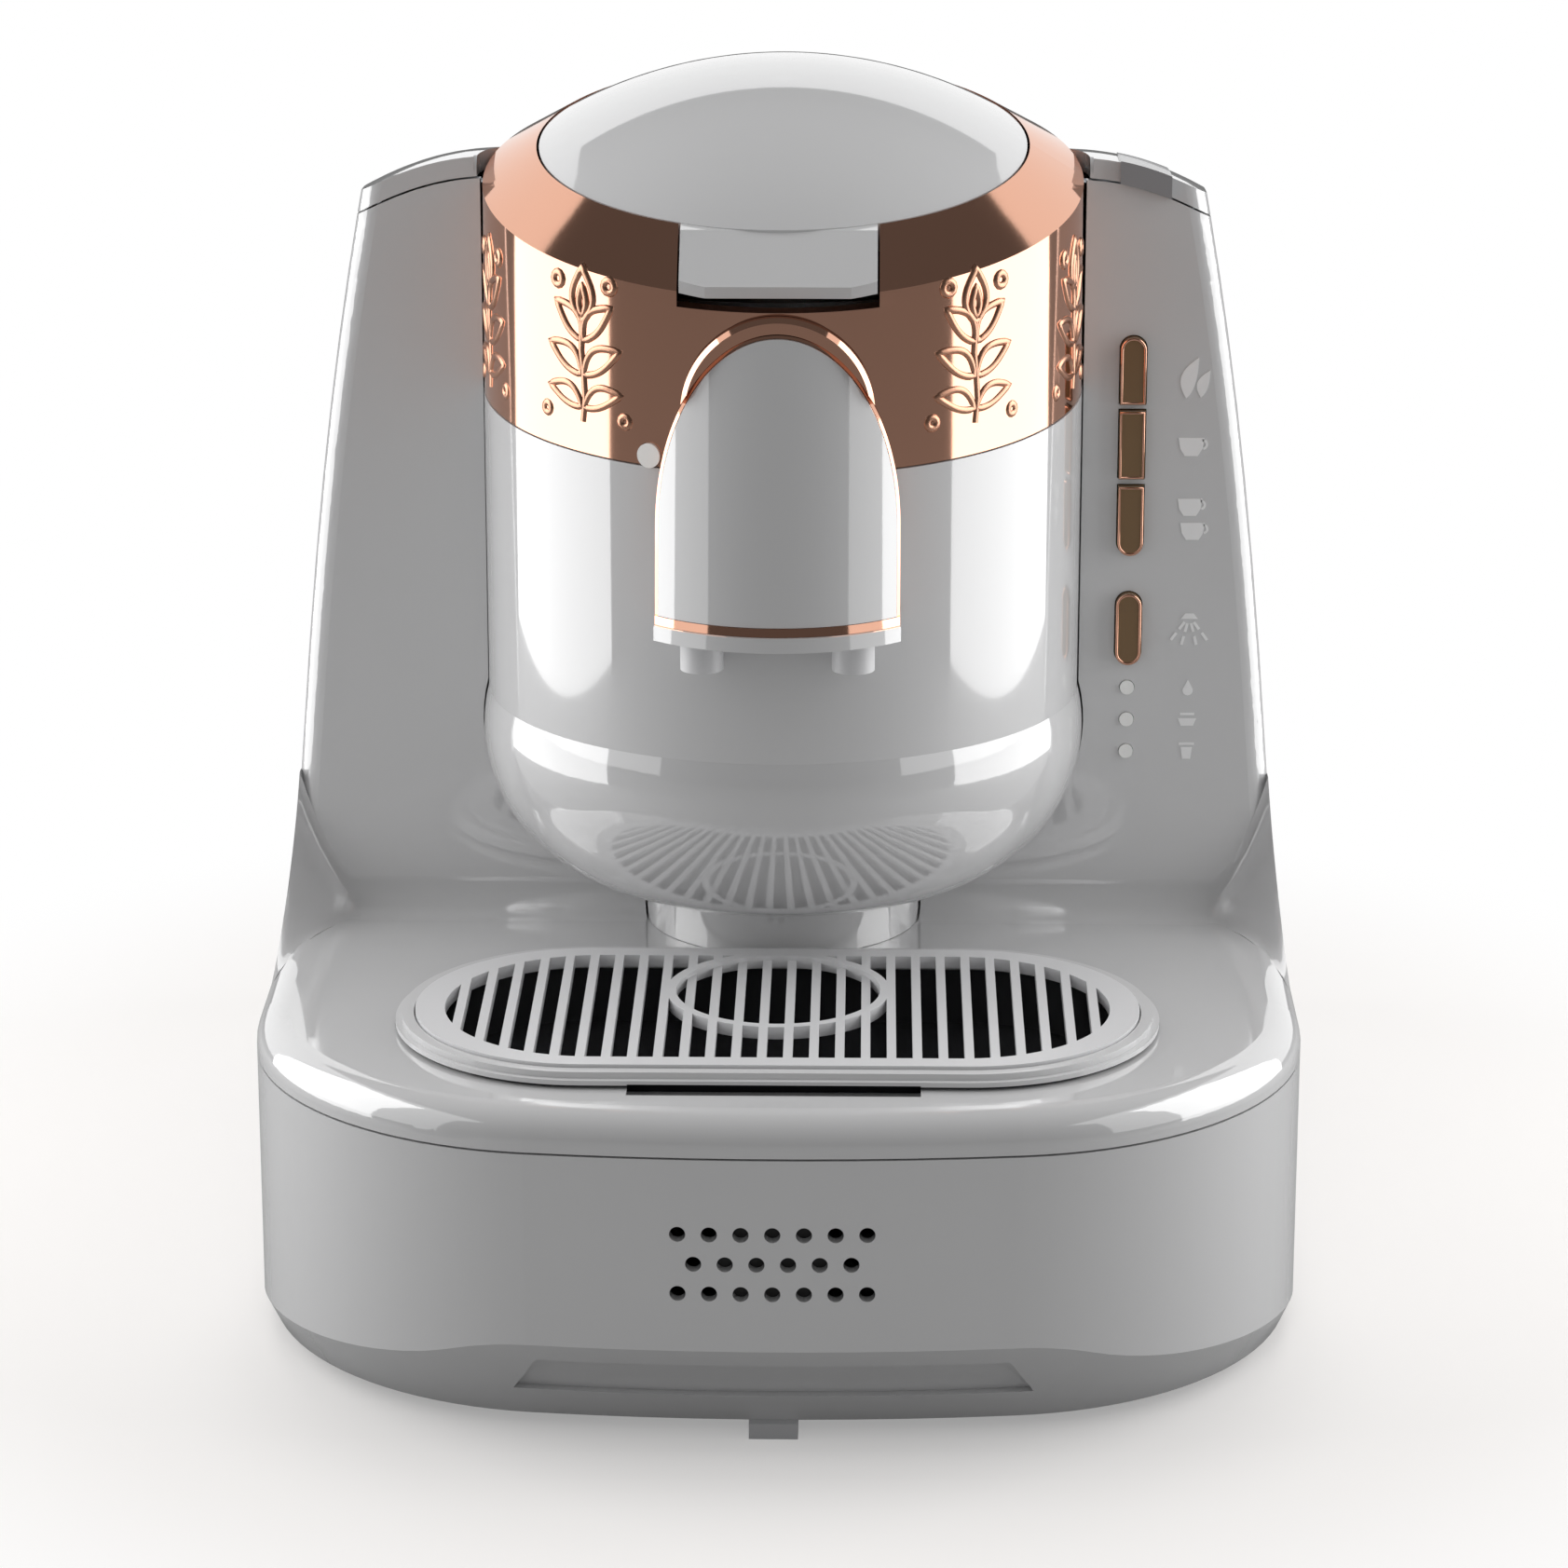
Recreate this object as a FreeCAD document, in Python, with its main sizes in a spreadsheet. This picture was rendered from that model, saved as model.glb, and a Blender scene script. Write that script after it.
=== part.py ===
"""Electric Turkish coffee maker, drawn as a parametric FreeCAD document in millimetres.

The front faces -Y and +Z is up. The origin lies on the table, under the middle of the casing.
Heights are measured from the table. Setbacks are measured from the front of the base, going back.
"""
import FreeCAD, Part
import math
import os
import Sketcher

from FreeCAD import Placement, Rotation, Vector

doc = FreeCAD.newDocument("coffee_maker")

# Driving dimensions

SIZES = [
    # Whole casing
    ("overall_width", 197.0),
    ("overall_depth", 256.0),
    ("front_corner", 61.0),
    ("rear_corner", 34.0),
    ("front_bow", 380.0),
    ("wall", 2.5),
    ("fit_gap", 0.3),
    ("seam_gap", 0.4),
    # Base
    ("foot_height", 3.0),
    ("foot_diameter", 18.0),
    ("foot_inset_side", 28.0),
    ("foot_setback_front", 48.0),
    ("foot_setback_rear", 226.0),
    ("front_tab_width", 9.0),
    ("front_tab_depth", 5.0),
    ("seam_level", 58.5),
    ("chin_rise", 18.3),
    ("chin_setback", 11.5),
    ("chin_corner", 48.0),
    ("chin_wall", 4.5),
    ("grip_width", 86.0),
    ("grip_flare", 4.5),
    ("grip_low", 9.5),
    ("grip_high", 17.5),
    ("grip_depth", 2.0),
    ("hole_diameter", 2.9),
    ("hole_pitch", 5.67),
    ("hole_row_pitch", 5.7),
    ("holes_level", 38.2),
    ("plate_thickness", 2.5),
    # Deck and tower
    ("deck_level", 66.0),
    ("deck_shoulder", 6.0),
    ("tower_setback", 116.0),
    ("tower_corner", 4.0),
    ("tower_low_width", 193.6),
    ("tower_low_level", 78.0),
    ("tower_mid_width", 186.0),
    ("tower_mid_level", 122.0),
    ("tower_high_width", 172.6),
    ("tower_high_level", 178.0),
    ("tower_top_width", 156.0),
    ("tower_top_level", 224.0),
    ("tower_rear_lean", 12.0),
    ("tower_split", 184.0),
    ("flare_radius", 42.0),
    ("face_fillet", 7.0),
    ("flare_width", 15.0),
    # Crowned top
    ("crown_level", 217.2),
    ("crown_crest", 118.0),
    ("crown_radius", 180.0),
    ("crown_start_slope", 3.0),
    ("crown_end_slope", 14.0),
    ("crown_flat", 55.0),
    ("crown_run", 26.0),
    ("crown_drop", 7.2),
    ("cover_thickness", 3.8),
    ("cover_edge", 3.5),
    ("cover_tab_width", 9.8),
    ("cover_tab_offset", 69.0),
    ("cover_tab_length", 16.0),
    ("cover_tab_thickness", 1.6),
    # Brewing unit
    ("unit_setback", 116.0),
    ("ring_diameter", 115.0),
    ("ring_top_diameter", 114.0),
    ("ring_wall", 2.5),
    ("ring_foot_level", 173.7),
    ("ring_foot_tilt", 4.4),
    ("shoulder_level", 213.3),
    ("unit_tilt", 9.8),
    ("bevel_rise", 6.7),
    ("housing_straight_level", 114.0),
    ("housing_floor_level", 78.0),
    ("housing_floor_diameter", 78.0),
    ("pedestal_diameter", 54.0),
    # Lid
    ("lid_diameter", 92.7),
    ("lid_gap", 0.5),
    ("lid_rise", 13.0),
    ("lid_thickness", 2.2),
    ("lid_tab_width", 36.0),
    ("lid_tab_reach", 59.0),
    ("lid_tab_drop", 6.6),
    ("notch_gap", 2.0),
    ("hinge_reach", 51.0),
    ("hinge_drop", 5.0),
    ("hinge_pin_diameter", 2.4),
    ("hinge_width", 26.0),
    ("knuckle_width", 15.0),
    ("swing_relief_width", 56.0),
    ("swing_relief_depth", 3.0),
    ("knuckle_diameter", 5.0),
    ("liner_diameter", 84.0),
    ("liner_thickness", 1.8),
    ("gasket_width", 2.6),
    ("gasket_height", 3.2),
    # Pot, heater and outlet
    ("pot_diameter", 90.0),
    ("pot_floor_diameter", 78.0),
    ("pot_floor_level", 158.0),
    ("pot_rim_level", 197.0),
    ("pot_wall", 1.2),
    ("pot_flange_diameter", 108.0),
    ("carrier_wall", 2.2),
    ("carrier_floor_level", 100.0),
    ("carrier_hole_diameter", 50.0),
    ("heater_diameter", 41.0),
    ("heater_height", 5.0),
    ("outlet_setback", 88.0),
    ("outlet_bore", 5.0),
    ("valve_diameter", 12.0),
    ("valve_height", 9.0),
    ("plunger_diameter", 4.4),
    ("solenoid_diameter", 17.0),
    ("solenoid_height", 24.0),
    ("thermostat_diameter", 15.0),
    ("thermostat_height", 7.0),
    ("nozzle_tube_diameter", 3.0),
    # Spout
    ("spout_width", 43.6),
    ("spout_top_level", 195.0),
    ("spout_spring_level", 160.0),
    ("spout_foot_level", 144.2),
    ("spout_front_setback", 44.0),
    ("spout_lean", 12.8),
    ("spout_bulge", 33.0),
    ("spout_wall", 1.8),
    ("spout_trim_proud", 0.6),
    ("spout_trim_height", 1.6),
    ("spout_base_height", 2.6),
    ("spout_nozzle_diameter", 7.9),
    ("spout_nozzle_bore", 4.6),
    ("spout_nozzle_spacing", 27.8),
    ("spout_nozzle_setback", 54.9),
    ("spout_nozzle_length", 6.5),
    ("collar_diameter", 35.4),
    ("collar_level", 181.0),
    ("collar_proud", 2.6),
    ("lens_diameter", 4.6),
    ("lens_offset", 23.6),
    ("lens_level", 171.6),
    ("lens_proud", 0.5),
    # Drip tray and cup grate
    ("tray_length", 142.4),
    ("tray_breadth", 72.0),
    ("tray_setback", 51.0),
    ("tray_lip", 2.2),
    ("tray_depth", 12.0),
    ("tray_wall", 1.8),
    ("tray_ledge", 3.6),
    ("tray_play", 2.4),
    ("grate_length", 135.0),
    ("grate_thickness", 2.4),
    ("slot_length", 124.0),
    ("bar_width", 1.7),
    ("bar_pitch", 4.72),
    ("seat_diameter", 42.0),
    ("seat_width", 1.8),
    ("seat_setback", 60.0),
    ("notch_width", 53.0),
    ("notch_depth", 4.0),
    # Controls
    ("button_offset", 67.3),
    ("button_width", 5.0),
    ("button_proud", 1.6),
    ("button_gap", 0.2),
    ("heat_button_level", 176.2),
    ("heat_button_height", 13.2),
    ("single_button_level", 161.6),
    ("single_button_height", 13.4),
    ("double_button_level", 146.5),
    ("double_button_height", 13.8),
    ("clean_button_level", 124.8),
    ("clean_button_height", 14.4),
    ("lamp_diameter", 2.8),
    ("lamp_level", 106.2),
    ("lamp_pitch", 6.5),
    ("stem_diameter", 3.2),
    ("switch_height", 3.6),
    ("switch_width", 6.2),
    ("board_setback", 130.0),
    ("board_thickness", 1.6),
    ("board_width", 17.0),
    ("board_low", 96.0),
    ("board_high", 188.0),
    # Water tank
    ("tank_wall", 2.2),
    ("tank_floor_level", 66.6),
    ("tank_valve_diameter", 16.0),
    ("tank_valve_setback", 222.0),
    ("tank_valve_height", 9.0),
    ("cover_hinge_setback", 247.0),
    ("cover_hinge_diameter", 2.6),
    # Inside the base
    ("pump_diameter", 34.0),
    ("pump_length", 58.0),
    ("pump_offset", -40.0),
    ("pump_setback", 150.0),
    ("pump_level", 30.0),
    ("pump_mount_width", 8.0),
    ("power_board_length", 76.0),
    ("power_board_depth", 52.0),
    ("power_board_offset", 42.0),
    ("power_board_setback", 158.0),
    ("power_board_level", 14.0),
    ("buzzer_diameter", 22.0),
    ("buzzer_height", 7.0),
    ("inlet_diameter", 11.0),
    ("inlet_offset", 54.0),
    ("inlet_level", 31.0),
    ("inlet_bore", 6.5),
    ("screw_diameter", 3.0),
    ("screw_head", 5.6),
    ("tube_diameter", 5.0),
]

sheet = doc.addObject("Spreadsheet::Sheet", "Sizes")
for row, (alias, number) in enumerate(SIZES, start=1):
    sheet.set("A%d" % row, alias)
    sheet.set("B%d" % row, str(number))
    sheet.setAlias("B%d" % row, alias)
doc.recompute()


class Size:
    """A size with its number and the text that binds a property to the sheet."""

    def __init__(self, text, number):
        self.text = text
        self.number = number

    def __float__(self):
        return float(self.number)

    @staticmethod
    def of(other):
        return other if isinstance(other, Size) else Size(repr(float(other)), float(other))

    def joined(self, sign, other, number):
        return Size("(%s %s %s)" % (self.text, sign, Size.of(other).text), number)

    def __add__(self, other):
        return self.joined("+", other, float(self) + float(other))

    def __radd__(self, other):
        return Size.of(other) + self

    def __sub__(self, other):
        return self.joined("-", other, float(self) - float(other))

    def __rsub__(self, other):
        return Size.of(other) - self

    def __mul__(self, other):
        return self.joined("*", other, float(self) * float(other))

    def __rmul__(self, other):
        return Size.of(other) * self

    def __truediv__(self, other):
        return self.joined("/", other, float(self) / float(other))

    def __neg__(self):
        return Size.of(0.0) - self


class Sheet:
    """Reads a size of the sheet by its alias."""

    def __getattr__(self, alias):
        return Size("Sizes." + alias, float(sheet.get(alias)))


S = Sheet()
front = -(S.overall_depth / 2)


def num(size):
    return float(size)


def back(setback):
    """The Y of something that lies this far behind the front of the base."""
    return front + setback


# Helpers that make objects bound to the sheet

nodes = []


def keep(obj, label):
    """Makes an object a sub-part of its own, under this label."""
    obj.Label = label
    nodes.append(obj)
    return obj


def bind(obj, **sizes):
    for prop, size in sizes.items():
        obj.setExpression(prop.replace("__", "."), Size.of(size).text)
    return obj


def place(obj, x=0.0, y=0.0, z=0.0, axis=None, angle=0.0):
    """Puts an object at bound coordinates, turned about an axis by a bound angle."""
    turn = Rotation(axis, num(Size.of(angle))) if axis else Rotation()
    obj.Placement = Placement(Vector(num(Size.of(x)), num(Size.of(y)), num(Size.of(z))), turn)
    bind(obj, Placement__Base__x=x, Placement__Base__y=y, Placement__Base__z=z)
    return obj


def block(name, length, width, height, x, y, z):
    """A box centred on x and y that stands on z."""
    obj = doc.addObject("Part::Box", name)
    bind(obj, Length=length, Width=width, Height=height)
    return place(obj, x - Size.of(length) / 2, y - Size.of(width) / 2, z)


def rod(name, diameter, height, x, y, z, axis=None, angle=0.0):
    obj = doc.addObject("Part::Cylinder", name)
    bind(obj, Radius=Size.of(diameter) / 2, Height=height)
    return place(obj, x, y, z, axis, angle)


def less(name, base, tool):
    obj = doc.addObject("Part::Cut", name)
    obj.Base = base
    obj.Tool = tool
    return obj


def joined(name, *shapes):
    obj = doc.addObject("Part::MultiFuse", name)
    obj.Shapes = list(shapes)
    return obj


def group(name, *links):
    """Like pieces that share one node and stay separate solids."""
    obj = doc.addObject("Part::Compound", name)
    obj.Links = list(links)
    return obj


def origin_plane(body, role):
    return next(item for item in body.Origin.OriginFeatures if item.Role == role)


def outline(body, name, plane, points):
    """A closed sketch whose corners are held by bound distances from the origin."""
    sketch = body.newObject("Sketcher::SketchObject", name)
    sketch.AttachmentSupport = [(origin_plane(body, plane), "")]
    sketch.MapMode = "FlatFace"
    corners = [Vector(num(Size.of(x)), num(Size.of(y)), 0) for x, y in points]
    count = len(corners)
    for i in range(count):
        sketch.addGeometry(Part.LineSegment(corners[i], corners[(i + 1) % count]), False)
    for i in range(count):
        sketch.addConstraint(Sketcher.Constraint("Coincident", i, 2, (i + 1) % count, 1))
    for i, (x, y) in enumerate(points):
        for kind, size in (("DistanceX", x), ("DistanceY", y)):
            size = Size.of(size)
            index = sketch.addConstraint(Sketcher.Constraint(kind, -1, 1, i, 1, num(size)))
            sketch.setExpression("Constraints[%d]" % index, size.text)
    return sketch


def turned(name, points, x=0.0, y=0.0, z=0.0, axis=None, angle=0.0):
    """A body turned about its own upright axis, from a half section of (radius, height) points."""
    body = doc.addObject("PartDesign::Body", name)
    profile = outline(body, name + "_section", "XZ_Plane", points)
    turn = body.newObject("PartDesign::Revolution", name + "_turn")
    turn.Profile = profile
    turn.ReferenceAxis = (profile, ["V_Axis"])
    turn.Angle = 360
    return place(body, x, y, z, axis, angle)


def feature(label, shape):
    """A sub-part whose form neither a body nor primitives fit."""
    obj = doc.addObject("Part::Feature", label)
    obj.Shape = shape
    return keep(obj, label)


# Shapes shared by several pieces

UP = Vector(0, 0, 1)
RIGHT = Vector(1, 0, 0)
BACKWARD = Vector(0, 1, 0)
FAR = 400.0


def plan(half, y_front, y_rear, r_front, r_rear, bow, z):
    """The casing's plan: a bowed front, round corners, straight sides and a flat back."""
    corner_x = half - r_front
    corner_y = y_front + bow - math.sqrt((bow - r_front) ** 2 - corner_x ** 2)
    lean = math.asin(corner_x / (bow - r_front))
    mid = (math.pi / 2 + lean) / 2
    touch = Vector(math.sin(lean) * bow, y_front + bow - math.cos(lean) * bow, z)
    bend = Vector(corner_x + r_front * math.sin(mid), corner_y - r_front * math.cos(mid), z)
    side = Vector(half, corner_y, z)
    low = Vector(half, y_rear - r_rear, z)
    s45 = math.sqrt(0.5) * r_rear
    rear_bend = Vector(half - r_rear + s45, y_rear - r_rear + s45, z)
    rear = Vector(half - r_rear, y_rear, z)

    def other(p):
        return Vector(-p.x, p.y, p.z)

    nose = Vector(0, y_front, z)
    edges = [
        Part.Arc(other(touch), nose, touch).toShape(),
        Part.Arc(touch, bend, side).toShape(),
        Part.LineSegment(side, low).toShape(),
        Part.Arc(low, rear_bend, rear).toShape(),
        Part.LineSegment(rear, other(rear)).toShape(),
        Part.Arc(other(rear), other(rear_bend), other(low)).toShape(),
        Part.LineSegment(other(low), other(side)).toShape(),
        Part.Arc(other(side), other(bend), other(touch)).toShape(),
    ]
    return Part.Wire(edges)


def prism(wire, height):
    return Part.Face(wire).extrude(Vector(0, 0, height))


def rounded(half, y_front, y_rear, r_front, r_rear, z):
    """A rectangle in plan with front and rear corner radii."""
    def corner(cx, cy, radius, start):
        points = []
        for step in range(3):
            angle = math.radians(start + 45 * step)
            points.append(Vector(cx + radius * math.cos(angle), cy + radius * math.sin(angle), z))
        return points

    corners = [
        corner(half - r_front, y_front + r_front, r_front, -90),
        corner(half - r_rear, y_rear - r_rear, r_rear, 0),
        corner(-half + r_rear, y_rear - r_rear, r_rear, 90),
        corner(-half + r_front, y_front + r_front, r_front, 180),
    ]
    edges = []
    for i, (start, middle, end) in enumerate(corners):
        edges.append(Part.Arc(start, middle, end).toShape())
        edges.append(Part.LineSegment(end, corners[(i + 1) % 4][0]).toShape())
    return Part.Wire(edges)


def stadium(length, breadth, y_mid, z):
    """A slot outline, longer along X, with half round ends."""
    r = breadth / 2
    run = length / 2 - r
    edges = [
        Part.LineSegment(Vector(-run, y_mid - r, z), Vector(run, y_mid - r, z)).toShape(),
        Part.Arc(Vector(run, y_mid - r, z), Vector(run + r, y_mid, z), Vector(run, y_mid + r, z)).toShape(),
        Part.LineSegment(Vector(run, y_mid + r, z), Vector(-run, y_mid + r, z)).toShape(),
        Part.Arc(Vector(-run, y_mid + r, z), Vector(-run - r, y_mid, z), Vector(-run, y_mid - r, z)).toShape(),
    ]
    return Part.Wire(edges)


def upright(x, y, z, radius, height):
    return Part.makeCylinder(radius, height, Vector(x, y, z), UP)


def slab(x0, x1, y0, y1, z0, z1):
    return Part.makeBox(x1 - x0, y1 - y0, z1 - z0, Vector(x0, y0, z0))


half_width = num(S.overall_width) / 2
y_front = num(front)
y_rear = y_front + num(S.overall_depth)
wall = num(S.wall)
fit = num(S.fit_gap)
floor_level = num(S.foot_height)
seam = num(S.seam_level)
deck = num(S.deck_level)
y_tower = num(back(S.tower_setback))
y_split = num(back(S.tower_split))
y_unit = num(back(S.unit_setback))
ring_radius = num(S.ring_diameter) / 2


def casing_plan(inset, z):
    """The plan of the whole casing, drawn in by an even inset."""
    return plan(half_width - inset, y_front + inset, y_rear - inset, num(S.front_corner) - inset,
                num(S.rear_corner) - inset, num(S.front_bow) - inset, z)


# Level, half width and share of the rear lean at each station of the tower
TOWER_STATIONS = [
    (seam, half_width, 0.0),
    (num(S.tower_low_level), num(S.tower_low_width) / 2, 0.1),
    (num(S.tower_mid_level), num(S.tower_mid_width) / 2, 0.3),
    (num(S.tower_high_level), num(S.tower_high_width) / 2, 0.7),
    (num(S.tower_top_level), num(S.tower_top_width) / 2, 1.0),
]


def tower_block(inset):
    """The tapered tower, as a loft through rounded rectangles."""
    wires = []
    for level, half, share in TOWER_STATIONS:
        rear = y_rear - num(S.tower_rear_lean) * share - inset
        r_front = max(num(S.tower_corner) - inset, 0.8)
        r_rear = num(S.rear_corner) - inset - 8.0 * share
        wires.append(rounded(half - inset, y_tower + inset, rear, r_front, r_rear, level))
    return Part.makeLoft(wires, True, False)


def crown_height(x, y):
    """The crowned top: it falls to the back along an arc, then a straight slope, and at both sides."""
    run = y - (y_front + num(S.crown_crest))
    radius = num(S.crown_radius)
    first = math.radians(num(S.crown_start_slope))
    last = math.radians(num(S.crown_end_slope))
    bend = radius * (math.sin(last) - math.sin(first))
    if run <= 0:
        fall = run * math.tan(first)
    elif run < bend:
        fall = radius * (math.cos(first) - math.cos(math.asin(math.sin(first) + run / radius)))
    else:
        fall = radius * (math.cos(first) - math.cos(last)) + (run - bend) * math.tan(last)
    side = max(abs(x) - num(S.crown_flat), 0.0) / num(S.crown_run)
    return num(S.crown_level) - fall - num(S.crown_drop) * side ** 2


def under_crown(drop):
    """Everything in the tower that lies at least this far under the crowned top."""
    spread = 104.0
    rows = []
    for i in range(27):
        x = -spread + i * 8.0
        rows.append([Vector(x, y, crown_height(x, y) - drop)
                     for y in [y_front + 90.0 + j * 7.0 for j in range(27)]])
    surface = Part.BSplineSurface()
    surface.interpolate(rows)
    return surface.toShape().extrude(Vector(0, 0, -FAR / 2))


floor_radius = num(S.housing_floor_diameter) / 2
housing_floor = num(S.housing_floor_level)
straight = num(S.housing_straight_level)


def housing_form(inset, top):
    """The brew housing turned about its axis, with an arc between the wall and the floor."""
    outer = ring_radius - inset
    low = floor_radius - inset * 0.4
    base = housing_floor + inset
    bend = Vector(low + (outer - low) * 0.76, 0, base + (straight - base) * 0.30)
    wall_line = Part.LineSegment(Vector(outer, 0, straight), Vector(outer, 0, top)).toShape()
    curve = Part.Arc(Vector(low, 0, base), bend, Vector(outer, 0, straight)).toShape()
    bottom = Part.LineSegment(Vector(0, 0, base), Vector(low, 0, base)).toShape()
    lid_line = Part.LineSegment(Vector(outer, 0, top), Vector(0, 0, top)).toShape()
    axis_line = Part.LineSegment(Vector(0, 0, top), Vector(0, 0, base)).toShape()
    wire = Part.Wire([bottom, curve, wall_line, lid_line, axis_line])
    solid = Part.Face(wire).revolve(Vector(0, 0, 0), UP, 360)
    solid.translate(Vector(0, y_unit, 0))
    return solid


tower_outer = tower_block(0.0)
tower_inner = tower_block(wall)
cover_drop = num(S.cover_thickness) + num(S.seam_gap)
below_cover = under_crown(cover_drop)
unit_hole = upright(0, y_unit, 0, ring_radius + fit, FAR)


# Base shell, with the tucked chin, the grip and the sound holes


def chin_block(inset):
    """The base between its underside and the top of the chin, growing forward as it rises."""
    low = plan(half_width - 0.5 - inset, y_front + num(S.chin_setback) + inset, y_rear - inset,
               num(S.front_corner) - inset, num(S.rear_corner) - inset, num(S.front_bow) - inset,
               floor_level)
    high = plan(half_width + 2.0 - inset, y_front + inset, y_rear + 2.0 - inset,
                num(S.chin_corner) - inset, num(S.rear_corner) - inset, num(S.front_bow) - inset,
                floor_level + num(S.chin_rise))
    return Part.makeLoft([low, high], True, True)


def base_block(inset):
    """The base as a solid: straight walls above, and the chin below."""
    body = prism(casing_plan(inset, floor_level), seam - num(S.seam_gap) - floor_level)
    low = body.common(chin_block(inset * num(S.chin_wall) / wall))
    upper = slab(-FAR, FAR, -FAR, FAR, floor_level + num(S.chin_rise), FAR)
    return body.common(upper).fuse(low).removeSplitter()


grip_half = num(S.grip_width) / 2
grip_points = [
    Vector(-grip_half, 0, num(S.grip_high)),
    Vector(grip_half, 0, num(S.grip_high)),
    Vector(grip_half + num(S.grip_flare), 0, num(S.grip_low)),
    Vector(-grip_half - num(S.grip_flare), 0, num(S.grip_low)),
]
grip_prism = Part.Face(Part.makePolygon(grip_points + grip_points[:1])).extrude(Vector(0, 60, 0))
grip_prism.translate(Vector(0, y_front - 20, 0))
grip_back = chin_block(0.0)
grip_back.translate(Vector(0, num(S.grip_depth), 0))
grip = grip_prism.cut(grip_back).common(slab(-FAR, FAR, y_front - 5, y_front + 30, 0, FAR))

hole_places = []
for row in range(-1, 2):
    count = 6 if row == 0 else 7
    for i in range(count):
        hole_places.append(((i - (count - 1) / 2) * num(S.hole_pitch),
                            num(S.holes_level) + row * num(S.hole_row_pitch)))
hole_tools = [Part.makeCylinder(num(S.hole_diameter) / 2, wall + 3, Vector(x, y_front - 1, z), BACKWARD)
              for x, z in hole_places]

plate_top = floor_level + num(S.plate_thickness)
inlet_x = num(S.inlet_offset)
inlet_z = num(S.inlet_level)
inlet_hole = Part.makeCylinder(num(S.inlet_diameter) / 2, 20, Vector(inlet_x, y_rear - 15, inlet_z), BACKWARD)
vent_tools = [slab(x - 1.2, x + 1.2, y_rear - 10, y_rear + 5, 30, 48) for x in range(-60, 21, 8)]

boss_radius = 7.0
boss_x = half_width - boss_radius - wall + 0.5
boss_top = 24.0
screw_places = [(side * boss_x, num(back(setback))) for side in (-1, 1)
                for setback in (S.tower_setback - 8.0, S.overall_depth - 38.0)]
bosses = [upright(x, y, plate_top + 0.1, boss_radius, boss_top - plate_top) for x, y in screw_places]
screw_radius = num(S.screw_diameter) / 2
screw_holes = Part.makeCompound([upright(x, y, 0, screw_radius + 0.1, boss_top - 2) for x, y in screw_places])
base_shell = base_block(0.0).cut(base_block(wall)).fuse(bosses).cut(screw_holes)
base_shell = base_shell.cut(grip).cut(Part.makeCompound(hole_tools + vent_tools)).cut(inlet_hole)
feature("base_shell", base_shell)

base_plate = base_block(wall + fit)
base_plate = base_plate.common(slab(-FAR, FAR, -FAR, FAR, floor_level, plate_top)).cut(screw_holes)
feature("base_plate", base_plate)

screws = []
for i, (x, y) in enumerate(screw_places):
    head = rod("screw_head_%d" % i, S.screw_head, 1.6, x, y, S.foot_height - 1.65)
    shank = rod("screw_shank_%d" % i, S.screw_diameter, 16.0, x, y, S.foot_height - 0.2)
    screws.append(joined("screw_%d" % i, head, shank))
keep(group("screw_group", *screws), "casing_screws")

feet = []
for i, setback in enumerate((S.foot_setback_front, S.foot_setback_rear)):
    for j, side in enumerate((-1, 1)):
        feet.append(rod("foot_%d%d" % (i, j), S.foot_diameter, S.foot_height,
                        (S.overall_width / 2 - S.foot_inset_side) * side, back(setback), 0.0))
keep(group("feet_group", *feet), "rubber_feet")

front_tab = block("front_tab_block", S.front_tab_width, S.front_tab_depth, S.foot_height,
                  0.0, back(S.chin_setback + S.front_tab_depth / 2 - 2.0), 0.0)
keep(front_tab, "front_tab")

# Upper casing: the deck, the flares at its sides and the tower up to its seam with the cover

deck_block = prism(casing_plan(0.0, seam), deck - seam)
top_edges = [edge for edge in deck_block.Edges
             if abs(edge.BoundBox.ZMin - deck) < 1e-4 and abs(edge.BoundBox.ZMax - deck) < 1e-4]
deck_block = deck_block.makeFillet(num(S.deck_shoulder), top_edges)


shoulder = num(S.deck_shoulder)
face_fillet = num(S.face_fillet)
flare_growth = num(S.flare_radius) - face_fillet
flare_width = num(S.flare_width)
flare_inner = half_width - flare_width


def flare_section(x):
    """A wire across the deck's junction with the tower at this x, its hollow arc growing outward."""
    share = max(abs(x) - flare_inner, 0.0) / flare_width
    radius = face_fillet + flare_growth * share ** 2
    beside = max(abs(x) - (half_width - shoulder), 0.0)
    floor = deck - shoulder + math.sqrt(shoulder ** 2 - beside ** 2)
    inside = y_tower + 3.0
    top = floor + radius
    start = y_tower - radius
    bend = Vector(x, start + radius * math.sin(math.pi / 4), top - radius * math.cos(math.pi / 4))
    points = [Vector(x, start, seam), Vector(x, inside, seam), Vector(x, inside, top), Vector(x, y_tower, top)]
    edges = [Part.LineSegment(points[i], points[i + 1]).toShape() for i in range(3)]
    edges.append(Part.Arc(points[3], bend, Vector(x, start, floor)).toShape())
    edges.append(Part.LineSegment(Vector(x, start, floor), points[0]).toShape())
    return Part.Wire(edges)


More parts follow.
